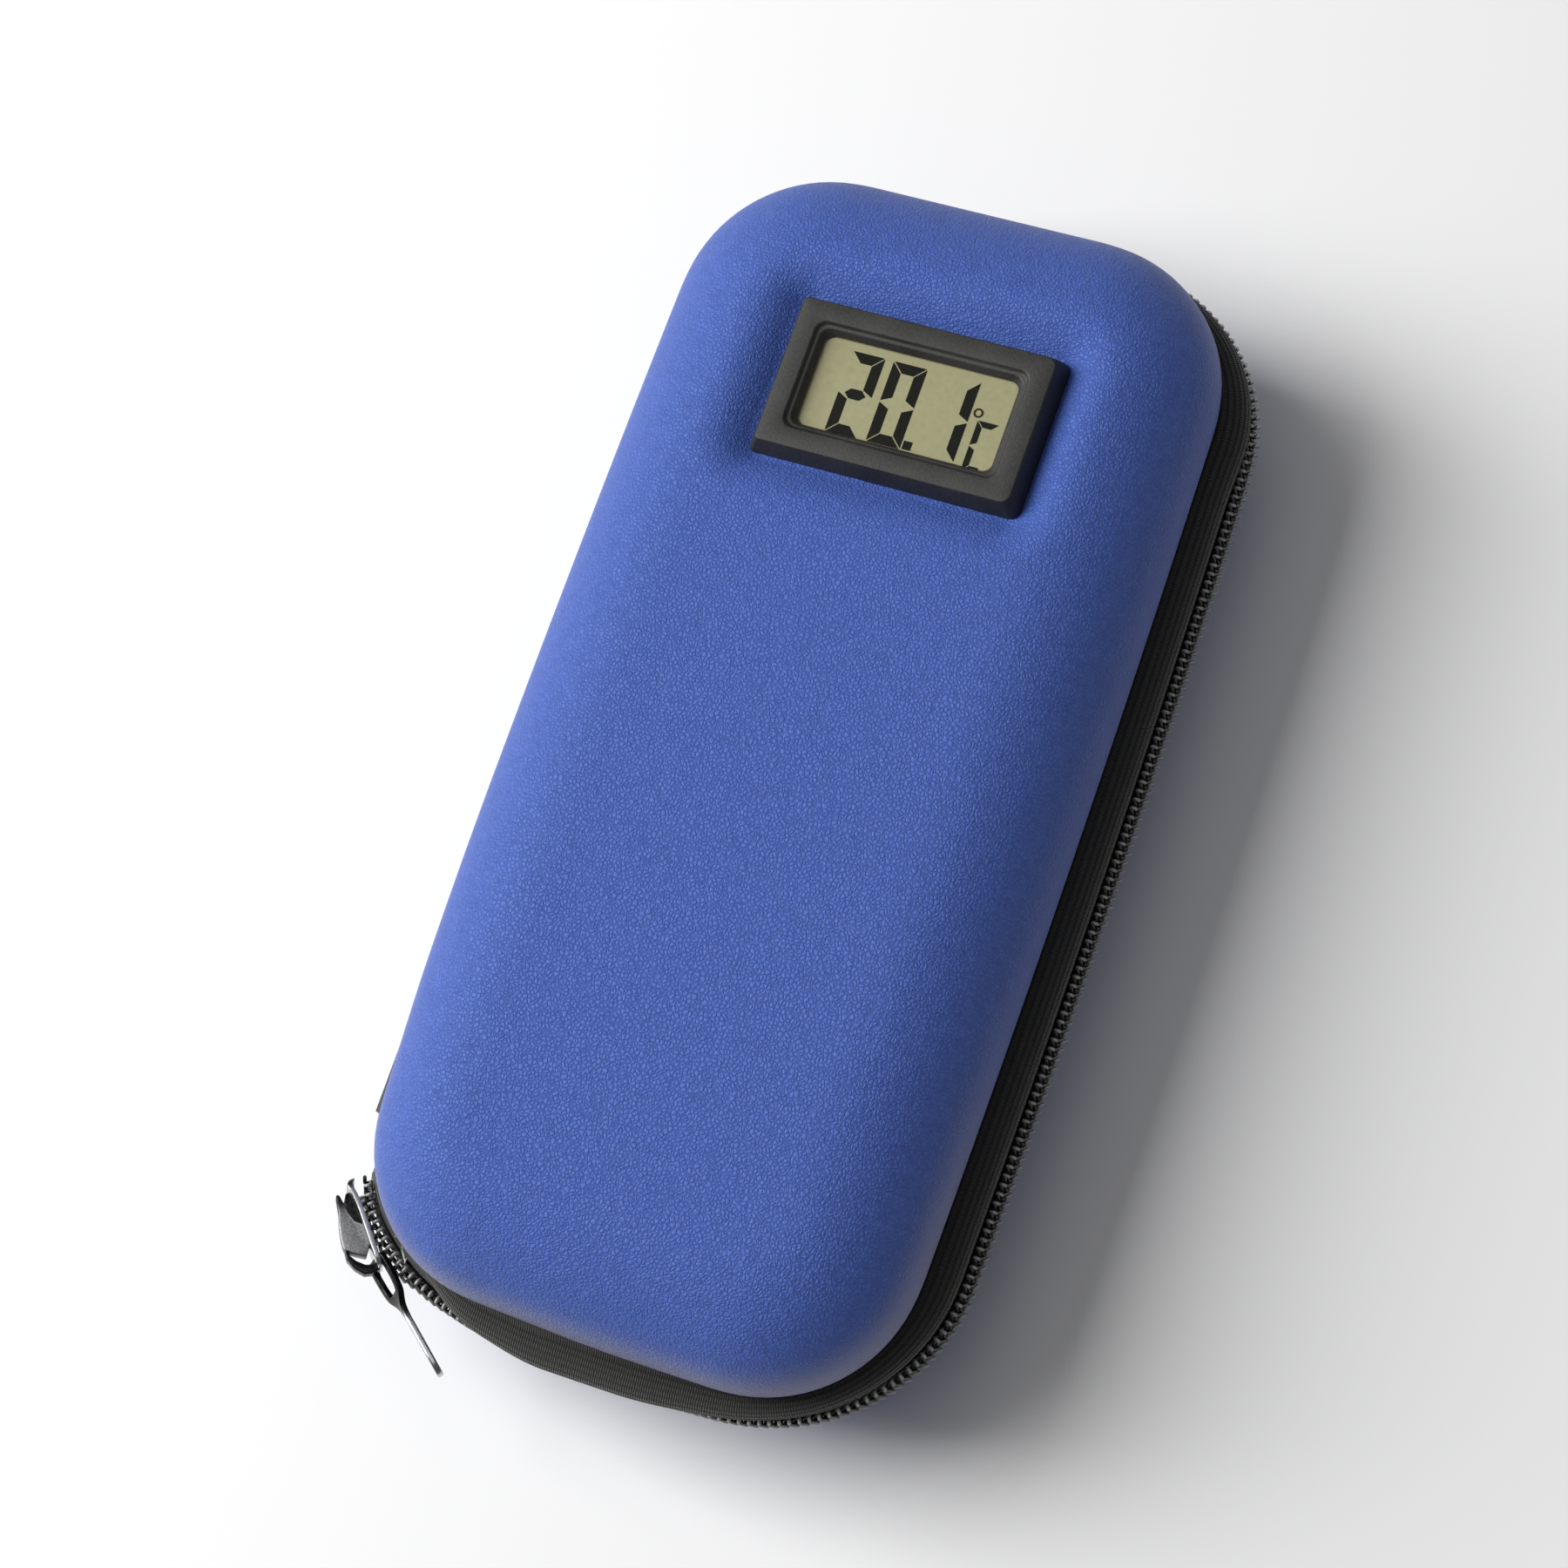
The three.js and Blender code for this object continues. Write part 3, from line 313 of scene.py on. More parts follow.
def loft(name, rows, steps):
    """Joins outlines with the same count of vertices, each given as shape, out and z."""
    whole = None
    count = 0
    for shape, out, z in rows:
        row = outline(name, shape, out, z, steps)
        bpy.ops.mesh.delete(type="ONLY_FACE")
        leave()
        size = len(row.data.vertices)
        if whole is None:
            whole = row
            count = size
            continue
        whole = merge_pieces(name, [whole, row])
        edit(whole)
        first = count - size
        pick("edges", lambda edge: all(vertex.index >= first for vertex in edge.verts))
        bpy.ops.mesh.bridge_edge_loops()
        count += size
        leave()
    return whole


def between(share):
    """An outline part of the way from the chain's to the body's."""
    return {key: CHAIN[key] + (BODY[key] - CHAIN[key]) * share for key in BODY}


# Leather, cloth, foam, film, metal and plastic.

def group(name, inputs, outputs):
    """A shader group with named inputs and outputs, and its two end nodes."""
    tree = bpy.data.node_groups.new(name, "ShaderNodeTree")
    for label, kind, value in inputs:
        socket = tree.interface.new_socket(label, in_out="INPUT", socket_type=kind)
        if value is not None:
            socket.default_value = value
    for label, kind in outputs:
        tree.interface.new_socket(label, in_out="OUTPUT", socket_type=kind)
    return tree, tree.nodes.new("NodeGroupInput"), tree.nodes.new("NodeGroupOutput")


NUMBER = "NodeSocketFloat"
VECTOR = "NodeSocketVector"


def wire(tree, value, socket):
    """Sets an input to a plain value, or links another node's output to it."""
    if isinstance(value, bpy.types.NodeSocket):
        tree.links.new(value, socket)
    else:
        socket.default_value = value


def add_node(tree, kind, settings=(), **inputs):
    """A shader node with its settings made and its inputs wired by name."""
    node = tree.nodes.new(f"ShaderNode{kind}")
    for setting, choice in dict(settings).items():
        setattr(node, setting, choice)
    for label, value in inputs.items():
        wire(tree, value, node.inputs[label.replace("_", " ")])
    return node


def sum_node(tree, operation, *values):
    node = add_node(tree, "Math", {"operation": operation})
    for value, socket in zip(values, node.inputs):
        wire(tree, value, socket)
    return node.outputs[0]


def noise(tree, vector, scale, detail=2, roughness=0.5, output="Fac"):
    return add_node(tree, "TexNoise", Vector=vector, Scale=scale, Detail=detail,
                    Roughness=roughness).outputs[output]


def axes(tree, place):
    return add_node(tree, "SeparateXYZ", Vector=place).outputs


def leather_grain():
    """Pebbled grain: raised cells with creases between them, and slow drifts of tone."""
    tree, start, end = group("leather_grain", [
        ("Vector", VECTOR, None), ("Cell Size", NUMBER, 900.0),
    ], [("Height", NUMBER), ("Crease", NUMBER), ("Drift", NUMBER)])
    place = start.outputs["Vector"]
    wobble = noise(tree, place, 1500, output="Color")
    bent = add_node(tree, "VectorMath", {"operation": "MULTIPLY_ADD"})
    for value, socket in zip((wobble, (0.0007, 0.0007, 0.0007), place), bent.inputs):
        wire(tree, value, socket)
    cells = add_node(tree, "TexVoronoi", {"feature": "DISTANCE_TO_EDGE"},
                     Vector=bent.outputs["Vector"], Scale=start.outputs["Cell Size"])
    edge = sum_node(tree, "SMOOTH_MIN", cells.outputs["Distance"], 0.2, 0.25)
    fine = noise(tree, place, 2400, 3)
    wire(tree, sum_node(tree, "MULTIPLY_ADD", fine, 0.10, edge), end.inputs["Height"])
    wire(tree, sum_node(tree, "MULTIPLY", edge, 6.0), end.inputs["Crease"])
    wire(tree, noise(tree, place, 480, 5, 0.7), end.inputs["Drift"])
    return tree


def weave():
    """Plain weave on a flat map in millimetres: X along the cloth, Y across it."""
    tree, start, end = group("weave", [
        ("Vector", VECTOR, None), ("Pitch", NUMBER, 0.5),
    ], [("Height", NUMBER), ("Thread", NUMBER)])
    place = start.outputs["Vector"]
    split = axes(tree, place)
    threads = []
    for axis in ("X", "Y"):
        count = sum_node(tree, "DIVIDE", split[axis], start.outputs["Pitch"])
        threads.append(sum_node(tree, "SINE", sum_node(tree, "MULTIPLY", count, pi)))
    over = sum_node(tree, "MULTIPLY", *threads)
    ridge = sum_node(tree, "ABSOLUTE", over)
    fuzz = noise(tree, place, 3.0, 3)
    wire(tree, sum_node(tree, "MULTIPLY_ADD", fuzz, 0.5, ridge), end.inputs["Height"])
    wire(tree, sum_node(tree, "MULTIPLY_ADD", over, 0.5, 0.5), end.inputs["Thread"])
    return tree


GRAIN = leather_grain()
WEAVE = weave()


def ramp(tree, factor, dark, light, low=0.3, high=0.7):
    node = add_node(tree, "ValToRGB", Fac=factor)
    first, last = node.color_ramp.elements
    first.position, last.position = low, high
    first.color, last.color = (*dark, 1), (*light, 1)
    return node.outputs["Color"]


def spread(tree, factor, low, high):
    return add_node(tree, "MapRange", Value=factor, To_Min=low, To_Max=high).outputs["Result"]


def ease(tree, value, start, end, low=0.0, high=1.0):
    """Goes smoothly from low to high while a value goes from start to end."""
    return add_node(tree, "MapRange", {"interpolation_type": "SMOOTHSTEP"}, Value=value,
                    From_Min=start, From_Max=end, To_Min=low, To_Max=high).outputs["Result"]


def mix_colours(tree, factor, first, second, blend="MIX"):
    return add_node(tree, "Mix", {"data_type": "RGBA", "blend_type": blend}, Factor=factor,
                    A=first, B=second).outputs["Result"]


def object_place(tree):
    return add_node(tree, "TexCoord").outputs["Object"]


def kept_on_mesh(tree, name, output):
    """What a named attribute of the piece's own vertices holds."""
    return add_node(tree, "Attribute", {"attribute_name": name}).outputs[output]


def masked_colour(tree, mask, fine, plain, marked):
    """One pair of tones, or the other where the piece's own mask says so."""
    share = kept_on_mesh(tree, mask, "Fac")
    return mix_colours(tree, share, ramp(tree, fine, *plain), ramp(tree, fine, *marked))


def diamonds(tree, place, count):
    """Distance from the nearest line of a slanted grid, from 0 to half a cell."""
    split = axes(tree, place)
    lines = []
    for sign in (1, -1):
        across = sum_node(tree, "MULTIPLY_ADD", split["Y"], sign, split["X"])
        lines.append(sum_node(tree, "PINGPONG", sum_node(tree, "MULTIPLY", across, count), 0.5))
    return sum_node(tree, "MINIMUM", *lines)


def finish(name, **sockets):
    """A material with its shader's own sockets set; returns it with its tree and shader."""
    material = bpy.data.materials.new(name)
    material.use_nodes = True
    tree = material.node_tree
    shader = tree.nodes["Principled BSDF"]
    for label, value in sockets.items():
        shader.inputs[label.replace("_", " ")].default_value = value
    return material, tree, shader


def surface(tree, shader, colour, rough, height=None, distance=0.0, strength=0.5):
    """Wires a shader's colour and roughness, and relief of a depth in metres."""
    wire(tree, colour, shader.inputs["Base Color"])
    wire(tree, rough, shader.inputs["Roughness"])
    if height is not None:
        relief = add_node(tree, "Bump", Height=height, Distance=distance, Strength=strength)
        wire(tree, relief.outputs["Normal"], shader.inputs["Normal"])


def leather(name, dark, light):
    """Grained leather with painted shade in its creases, and a painted pale reflection round the
    rim, strongest toward the slider.
    """
    material, tree, shader = finish(name, Sheen_Weight=0.04, Specular_IOR_Level=0.3)
    place = object_place(tree)
    grain = add_node(tree, "Group", {"node_tree": GRAIN}, Vector=place, Cell_Size=1350)
    drift = grain.outputs["Drift"]
    # Painted shade: the creases between the grain's cells are darkened by multiplying with this
    # ramp.
    shade = ramp(tree, grain.outputs["Crease"], (0.55, 0.55, 0.6), (1, 1, 1), 0.1, 0.8)
    crease_shaded = mix_colours(tree, 0.45, ramp(tree, drift, dark, light), shade, "MULTIPLY")
    split = axes(tree, place)
    rise = sum_node(tree, "ABSOLUTE", sum_node(tree, "SUBTRACT", split["Z"], ZIP * MM))
    # Painted reflection: near the rim the colour is mixed toward a pale lilac grey, more toward
    # the slider end.
    painted_rim_reflection = sum_node(tree, "MULTIPLY", ease(tree, rise, 0.0205, 0.0115),
                    ease(tree, split["Y"], -0.02, -0.09, 0.25, 0.85))
    surface(tree, shader, mix_colours(tree, painted_rim_reflection, crease_shaded, (0.24, 0.25, 0.38, 1)),
            spread(tree, drift, 0.44, 0.58), grain.outputs["Height"], 0.0009, 0.7)
    return material


def cloth(name, dark, light, pitch):
    """Woven cloth on the piece's own flat map, which is in millimetres."""
    material, tree, shader = finish(name, Sheen_Weight=0.25, Sheen_Roughness=0.5)
    woven = add_node(tree, "Group", {"node_tree": WEAVE}, Pitch=pitch,
                     Vector=kept_on_mesh(tree, "cloth_map", "Vector"))
    height = woven.outputs["Height"]
    surface(tree, shader, ramp(tree, height, dark, light, 0.15, 1.1),
            spread(tree, woven.outputs["Thread"], 0.75, 0.95), height, 0.0003, 0.9)
    return material


def speckled(name, dark, light, scale, rough=(0.4, 0.6), depth=0.00004, **sockets):
    """Moulded plastic, foam, film or metal: fine speckle, drift of tone and roughness."""
    material, tree, shader = finish(name, **sockets)
    place = object_place(tree)
    fine = noise(tree, place, scale, 3, 0.6)
    broad = noise(tree, place, scale / 25, 2)
    mixed = sum_node(tree, "MULTIPLY_ADD", broad, 0.4, sum_node(tree, "MULTIPLY", fine, 0.6))
    surface(tree, shader, ramp(tree, mixed, dark, light), spread(tree, broad, *rough),
            fine, depth)
    return material


def foil_film():
    """Quilted silver film: welded diamonds 16 mm wide, with small wrinkles."""
    material, tree, shader = finish("foil_lining", Metallic=0.75)
    place = object_place(tree)
    nearest = diamonds(tree, place, 62.5)
    puff = sum_node(tree, "POWER", sum_node(tree, "MULTIPLY", nearest, 2.0), 0.45)
    wrinkle = noise(tree, place, 260, 5, 0.65)
    surface(tree, shader, ramp(tree, wrinkle, (0.48, 0.49, 0.51), (0.66, 0.67, 0.69)),
            spread(tree, wrinkle, 0.28, 0.5),
            sum_node(tree, "MULTIPLY_ADD", wrinkle, 0.35, puff), 0.0011, 0.8)
    return material


def coil_nylon():
    """Black shiny wire, with pale painted highlights on the tops of its turns."""
    material, tree, shader = finish("coil_nylon")
    fine = noise(tree, object_place(tree), 1800, 3)
    # The pale pair of tones is a painted highlight, laid where the wire's own mask says.
    colour = masked_colour(
        tree, "painted_glint", fine, ((0.004, 0.004, 0.004), (0.012, 0.012, 0.011)),
        ((0.45, 0.45, 0.44), (0.8, 0.8, 0.78)))
    surface(tree, shader, colour, spread(tree, fine, 0.16, 0.26), fine, 0.00003)
    return material


def plated_metal(name, rough, dark=0.46, light=0.68):
    """Bright plating, painted near black where the piece's own mask says: a painted dark
    reflection.
    """
    material, tree, shader = finish(name, Metallic=1.0)
    place = object_place(tree)
    fine = noise(tree, place, 2600, 3, 0.7)
    broad = noise(tree, place, 60, 2)
    # The near-black pair of tones is a painted dark reflection.
    colour = masked_colour(
        tree, "dark_reflection_mask", fine, ((dark,) * 3, (light,) * 3), ((0.004,) * 3, (0.06,) * 3))
    surface(tree, shader, colour, spread(tree, broad, *rough), fine, 0.00003)
    return material


def net_mesh():
    """Open net: threads on a slanted grid 1.6 mm wide, clear between them."""
    material, tree, shader = finish("net_mesh")
    place = kept_on_mesh(tree, "cloth_map", "Vector")
    thread = sum_node(tree, "LESS_THAN", diamonds(tree, place, 0.45), 0.17)
    wire(tree, thread, shader.inputs["Alpha"])
    fuzz = noise(tree, place, 5, 3)
    surface(tree, shader, ramp(tree, fuzz, (0.012, 0.012, 0.014), (0.035, 0.035, 0.04)), 0.8,
            fuzz, 0.0001, 0.6)
    return material


def clear_window():
    material, tree, shader = finish("clear_window", IOR=1.4, Alpha=0.06)
    smudge = noise(tree, object_place(tree), 60, 3)
    surface(tree, shader, ramp(tree, smudge, (0.05, 0.05, 0.045), (0.07, 0.07, 0.065)),
            spread(tree, smudge, 0.05, 0.1))
    return material


BLUE_LEATHER = leather("blue_leather", (0.053, 0.111, 0.43), (0.072, 0.143, 0.51))
FOIL = foil_film()
TAPE_CLOTH = cloth("zipper_tape_cloth", (0.003, 0.003, 0.0025), (0.04, 0.04, 0.036), 0.42)
SPINE_CLOTH = cloth("spine_cloth", (0.006, 0.006, 0.006), (0.05, 0.05, 0.05), 0.5)
ELASTIC = cloth("ribbed_elastic", (0.008, 0.008, 0.01), (0.05, 0.05, 0.055), 0.8)
COIL_NYLON = coil_nylon()
NICKEL = plated_metal("nickel", (0.16, 0.28))
SATIN = plated_metal("satin_nickel", (0.5, 0.6), 0.18, 0.42)
FRAME_PLASTIC = speckled(
    "frame_plastic", (0.01, 0.0095, 0.009), (0.042, 0.041, 0.039), 2600, (0.5, 0.65), 0.00008)
CASE_PLASTIC = speckled(
    "case_plastic", (0.018, 0.018, 0.018), (0.04, 0.04, 0.04), 2200, (0.45, 0.6), 0.00005)
DISPLAY = speckled(
    "display_film", (0.385, 0.365, 0.2), (0.47, 0.45, 0.25), 900, (0.3, 0.4), 0.000005)
INK = speckled(
    "display_ink", (0.003, 0.003, 0.002), (0.008, 0.008, 0.005), 900, (0.5, 0.6), 0.000005,
    Specular_IOR_Level=0.1)
FOAM = speckled(
    "foam", (0.03, 0.031, 0.036), (0.065, 0.067, 0.075), 1400, (0.85, 0.98), 0.0003)
GEL = speckled(
    "gel_film", (0.2, 0.42, 0.68), (0.3, 0.55, 0.8), 160, (0.15, 0.3), 0.0004,
    Coat_Weight=0.4)
BOARD = speckled(
    "solder_mask", (0.008, 0.08, 0.03), (0.014, 0.12, 0.05), 700, (0.4, 0.55), 0.00002)
RESIN = speckled("resin", (0.005, 0.005, 0.005), (0.012, 0.012, 0.012), 900, (0.15, 0.3))
BLACKENED = speckled(
    "blackened_metal", (0.02, 0.02, 0.02), (0.04, 0.04, 0.04), 1500, (0.3, 0.45), 0.00002,
    Metallic=0.6)
RUBBER = speckled("strip_rubber", (0.07, 0.07, 0.075), (0.12, 0.12, 0.13), 1200, (0.7, 0.85))
STEEL = speckled(
    "cell_steel", (0.42, 0.43, 0.45), (0.52, 0.53, 0.55), 1400, (0.18, 0.3), 0.00001,
    Metallic=1.0)
BRASS = speckled(
    "contact_brass", (0.48, 0.32, 0.08), (0.58, 0.4, 0.11), 1400, (0.2, 0.35), 0.00001,
    Metallic=1.0)
NET = net_mesh()
WINDOW = clear_window()


# Moulded halves.

def inset_round(steps, width, height):
    """Insets and lifts the chosen face along a quarter of an ellipse."""
    for k in range(steps):
        turn, more = k * pi / 2 / steps, (k + 1) * pi / 2 / steps
        bpy.ops.mesh.inset(
            thickness=width * (cos(turn) - cos(more)), depth=height * (sin(more) - sin(turn)))


def fill_top(top, span, offset):
    """Lays a grid of faces over the opening at the top."""
    pick("faces", lambda face: len(face.verts) > 50)
    bpy.ops.mesh.delete(type="ONLY_FACE")
    pick("edges", lambda edge: edge.is_boundary and edge.verts[0].co.z > top - NEAR)
    bpy.ops.mesh.fill_grid(span=span, offset=offset)


def smooth(value, low, high):
    share = min(max((value - low) / (high - low), 0), 1)
    return share * share * (3 - 2 * share)


def dent_share(x, y, margin):
    """How deep the dent round the thermometer is at a place, from 0 to 1."""
    away = [abs(value - centre) - half - margin + DENT_CORNER for value, centre, half
            in zip((x, y), FRAME_CENTRE, FRAME_HALF)]
    out = hypot(max(away[0], 0), max(away[1], 0)) + min(max(away), 0) - DENT_CORNER
    share = min(max(out / DENT_BLEND, 0), 1)
    return (1 - share) ** 2


def crown_of(x, y):
    """A slight rise of the flat top towards its middle."""
    across = max(0, 1 - (x / 40) ** 2)
    along = max(0, 1 - (y / 96) ** 2)
    return across * along


def press(piece, depth, rule):
    """Lowers or raises the places that a rule weights."""
    weights = piece.vertex_groups.new(name="press")
    for vertex in piece.data.vertices:
        weights.add([vertex.index], rule(vertex.co), "REPLACE")
    modify(piece, "DISPLACE", direction="Z", strength=depth, mid_level=0, vertex_group="press")
    piece.vertex_groups.clear()


def cut_meter_hole(clear=0.3):
    """Cuts and removes the rectangle of the top that the thermometer goes through."""
    (x, y), (half_x, half_y) = FRAME_CENTRE, METER_HALF
    half_x, half_y = half_x + clear, half_y + clear

    def inside(face, extra):
        centre = face.calc_center_median()
        return (abs(centre.x - x) < half_x + extra and abs(centre.y - y) < half_y + extra
                and centre.z > ZIP + 15)

    for normal, place in (
        ((1, 0, 0), (x + half_x, y, 0)), ((1, 0, 0), (x - half_x, y, 0)),
        ((0, 1, 0), (x, y + half_y, 0)), ((0, 1, 0), (x, y - half_y, 0)),
    ):
        pick("faces", lambda face: inside(face, 3))
        bpy.ops.mesh.bisect(plane_co=place, plane_no=normal)
    pick("faces", lambda face: inside(face, 0))
    bpy.ops.mesh.delete(type="FACE")


def pulled_in(co):
    """Draws the lid in where the parked slider pulls at its corner."""
    low, corner = smooth(-co.y, 20, 80), smooth(-co.x - co.y, 100, 140)
    co.x += smooth(-co.x, 20, 45) * 0.6 * low + 0.8 * corner
    co.y += 1.3 * corner


def away_from(co, core):
    """The way to a place from the nearest place of the core that the corners turn about."""
    return co.xy - Vector([copysign(min(abs(value), most), value)
                           for value, most in zip(co, core)])


def roll_rim(co):
    """Rolls the wall's free edge inward."""
    away = away_from(co, (BODY["width"] - BODY["corner"], BODY["length"] - BODY["corner"]))
    share = min(max(1 - (abs(co.z - ZIP) - RIM_GAP) / 4, 0), 1)
    outer = 1 if away.length > BODY["corner"] - 1.3 - 2.4 * (co.x < -20 and co.y < -70) else 0.2
    co.xy -= away.normalized() * 0.7 * share * share * outer


def moulded_half(name, inset, drop, thickness, rim, is_lid, rim_round):
    piece = outline(name, BODY, -inset, rim)
    start = TOP - SHOULDER_HEIGHT
    grow(0, 0, (start - rim) / 2)
    grow(0, 0, (start - rim) / 2)
    inset_round(12, SHOULDER_WIDTH - inset, SHOULDER_HEIGHT - drop)
    top = TOP - drop
    fill_top(top, END_STEPS + CORNER_STEPS, CORNER_STEPS // 2)
    turn_outward()
    leave()
    subdivide_once(piece)
    if is_lid:
        edit(piece)
        reshape(pulled_in)
        leave()
        press(piece, 0.5, lambda co: crown_of(co.x, co.y) if co.z > top - 3 else 0)
        press(piece, -DENT_DEPTH, lambda co: dent_share(co.x, co.y, DENT_MARGIN + drop)
              if co.z > start else 0)
        edit(piece)
        cut_meter_hole()
    else:
        edit(piece)
        everything()
        stretch((1, 1, -1), (0, 0, ZIP))
        bpy.ops.mesh.flip_normals()
    leave()
    modify(piece, "SOLIDIFY", thickness=thickness, offset=-1, use_even_offset=True)
    if not inset:
        edit(piece)
        reshape(roll_rim)
        leave()
    round_edges(piece, rim_round, angle=40)
    return piece


lid_shell = finished(
    moulded_half("lid_leather_shell", 0, 0, WALL, ZIP + RIM_GAP, True, 0.9),
    BLUE_LEATHER, "lid", 50, ["lid_shell"])
base_shell = finished(
    moulded_half("base_leather_shell", 0, 0, WALL, ZIP + RIM_GAP, False, 0.9),
    BLUE_LEATHER, "base", 50, ["base_shell"])
LINER_SIDE, LINER_TOP, LINER = 4.1, 2.9, 2.0
lid_liner = finished(
    moulded_half("lid_foil_lining", LINER_SIDE, LINER_TOP, LINER, ZIP + 0.3, True, 0.7),
    FOIL, "lid", 50, ["lid_liner"])
finished(
    moulded_half("base_foil_lining", LINER_SIDE, LINER_TOP, LINER, ZIP + 0.3, False, 0.7),
    FOIL, "base", 50, ["base_liner"])


# Zipper tapes, chain and stops.

CHAIN_CORNER = (21.95, 75.5)
DROOP = radians(21)
TAPE_END = radians(168)
CHAIN_END = radians(158)
SLIDER_TURN = radians(-139)
COIL_PITCH = 1.65


def along_outline(x, y):
    """Length along the chain's outline, from the middle of the long side at +X."""
    radius = CHAIN["corner"]
    corner_x, corner_y = CHAIN_CORNER
    side = copysign(1, y)
    out_x, out_y = x - corner_x, abs(y) - corner_y
    if x > corner_x and out_y <= 0:
        return y
    if x > corner_x:
        return side * (corner_y + radius * atan2(out_y, out_x))
    if x > -corner_x and out_y > 0:
        return side * (corner_y + radius * pi / 2 + corner_x - x)
    turn = atan2(-corner_x - x, max(out_y, 0.001))
    return side * (corner_y + radius * (pi / 2 + turn) + 2 * corner_x)


def lay_cloth_map(piece, rule):
    """Keeps a flat map of the cloth in millimetres on the piece's vertices."""
    leave()
    layer = piece.data.attributes.new("cloth_map", "FLOAT_VECTOR", "POINT")
    for vertex in piece.data.vertices:
        layer.data[vertex.index].vector = (*rule(vertex.index, vertex.co), 0)


def drop_hinge_side(piece, end):
    """Cuts a band round the case at both ends of the zipper, and drops the hinge side."""
    edit(piece)
    corner_x, corner_y = CHAIN_CORNER
    for side in (-1, 1):
        pick("faces" if piece.data.polygons else "edges", lambda item: all(
            vertex.co.x < -corner_x - 5 and vertex.co.y * side > 0 for vertex in item.verts))
        bpy.ops.mesh.bisect(
            plane_co=(-corner_x, side * corner_y, 0), plane_no=(-sin(end), side * cos(end), 0))

    def beyond(vertex):
        out_x, out_y = -corner_x - vertex.co.x, abs(vertex.co.y) - corner_y
        return out_x > 5 and out_y < out_x * tan(pi - end) - NEAR

    pick("verts", beyond)
    bpy.ops.mesh.delete(type="VERT")
    leave()


def settle_chain(piece, out_by, more, slider_by, far):
    """Moves the chain and the tapes' edges out, and down along the end at -Y."""
    leave()
    for vertex in piece.data.vertices:
        co = vertex.co
        along = along_outline(co.x, co.y)
        end = smooth(-along, 70, 125) * smooth(along, -186, -172)
        near = smooth(-abs(co.z - ZIP), -6.5, -3.5)
        reach = ((out_by - 0.6 * smooth(-along, 75, 105) + more * smooth(-along, 114, 144))
                 * smooth(along, -180, -157)
                 * smooth(-along, -125, -80)
                 + far * smooth(along, 66, 88) * smooth(-along, -125, -95)
                 + slider_by * smooth(-along, 184, 190) * smooth(along, -208, -199))
        if near and (end or reach):
            away = away_from(co, CHAIN_CORNER)
            out = away.length - CHAIN["corner"]
            turn = -DROOP * end * near
            rise = co.z - ZIP
            co.xy += away.normalized() * (out * cos(turn) - rise * sin(turn) - out + reach * near)
            co.z = ZIP + out * sin(turn) + rise * cos(turn)


def part_halves(piece, rise, out, reach):
    """Lifts one half of the chain, or its tape, off the other near the slider's mouth, and
    tucks both ends in."""
    leave()
    for vertex in piece.data.vertices:
        co = vertex.co
        along = along_outline(co.x, co.y)
        near = smooth(-abs(co.z - ZIP), -reach - 2, -reach)
        share, tuck = near * smooth(-along, 190, 202), near * smooth(abs(along), 208.5, 214.5)
        if share or tuck:
            toward = Vector((co.x + CHAIN_CORNER[0], abs(co.y) - CHAIN_CORNER[1], 0)).normalized()
            toward.y = copysign(toward.y, co.y)
            co += (out * share - 4.6 * tuck) * toward + Vector((0, 0, rise * share))


def bare_chain(piece):
    """Draws the lid tape's lip back where the chain shows beside the slider."""
    leave()
    for vertex in piece.data.vertices:
        co = vertex.co
        share = smooth(-along_outline(co.x, co.y), 172, 186)
        share *= smooth(co.z, 29.5, 30.3) * smooth(-co.z, -35, -33.5)
        if share:
            toward = Vector((co.x + CHAIN_CORNER[0], co.y + CHAIN_CORNER[1], 0)).normalized()
            co -= share * (1.6 * toward + Vector((0, 0, 0.5)))


def tape(name, rows, body, node):
    steps = (16, SIDE_STEPS, 20)
    piece = loft(name, [(between(share), out, z) for share, out, z in rows], steps)
    ring = len(piece.data.vertices) // len(rows)
    across = [0.0]
    for (share, out, z), (more, wide, high) in zip(rows, rows[1:]):
        across.append(across[-1] + hypot(wide - out + 4 * (more - share), high - z))
    lay_cloth_map(piece, lambda index, co: (along_outline(co.x, co.y), across[index // ring]))
    if body == "lid":
        bare_chain(piece)
    settle_chain(piece, 1.5, 2.7, 0.1, 0.9 if body == "lid" else -0.4)
    part_halves(piece, *((0.9, 0.5, 7) if body == "lid" else (-0.6, 0.6, 6)))
    drop_hinge_side(piece, TAPE_END)
    edit(piece)
    turn_outward()
    leave()
    thicken(piece, 0.8)
    subdivide_once(piece)
    finished(piece, TAPE_CLOTH, body, 60, [node])


def length_to(end):
    return along_outline(-CHAIN_CORNER[0] + CHAIN["corner"] * cos(end),
                         CHAIN_CORNER[1] + CHAIN["corner"] * sin(end))


tape("lid_zipper_cloth", [
    (0, -1.5, 28.3), (0, -2.5, 29.4), (0, -2.1, 30.3), (0, -1.25, 30.5), (0, -1.0, 31.0),
    (0.05, -1.1, 31.7), (0.2, -1.4, 32.4), (0.45, -1.8, 32.8), (0.8, -2.6, 33.0),
    (1, -3.35, 32.8), (1, -3.35, 39),
], "lid", "lid_zipper_tape")
tape("base_zipper_cloth", [
    (0, -0.9, 27.0), (0, -1.2, 26.2), (0, -0.4, 25.4), (0, 0.1, 25.2), (0, 0.2, 24.6),
    (0.1, 0.0, 24.0), (0.3, -0.5, 23.4), (0.6, -1.3, 23.1), (0.85, -2.4, 23.0),
    (1, -3.35, 23.2), (1, -3.35, 17),
], "base", "base_zipper_tape")


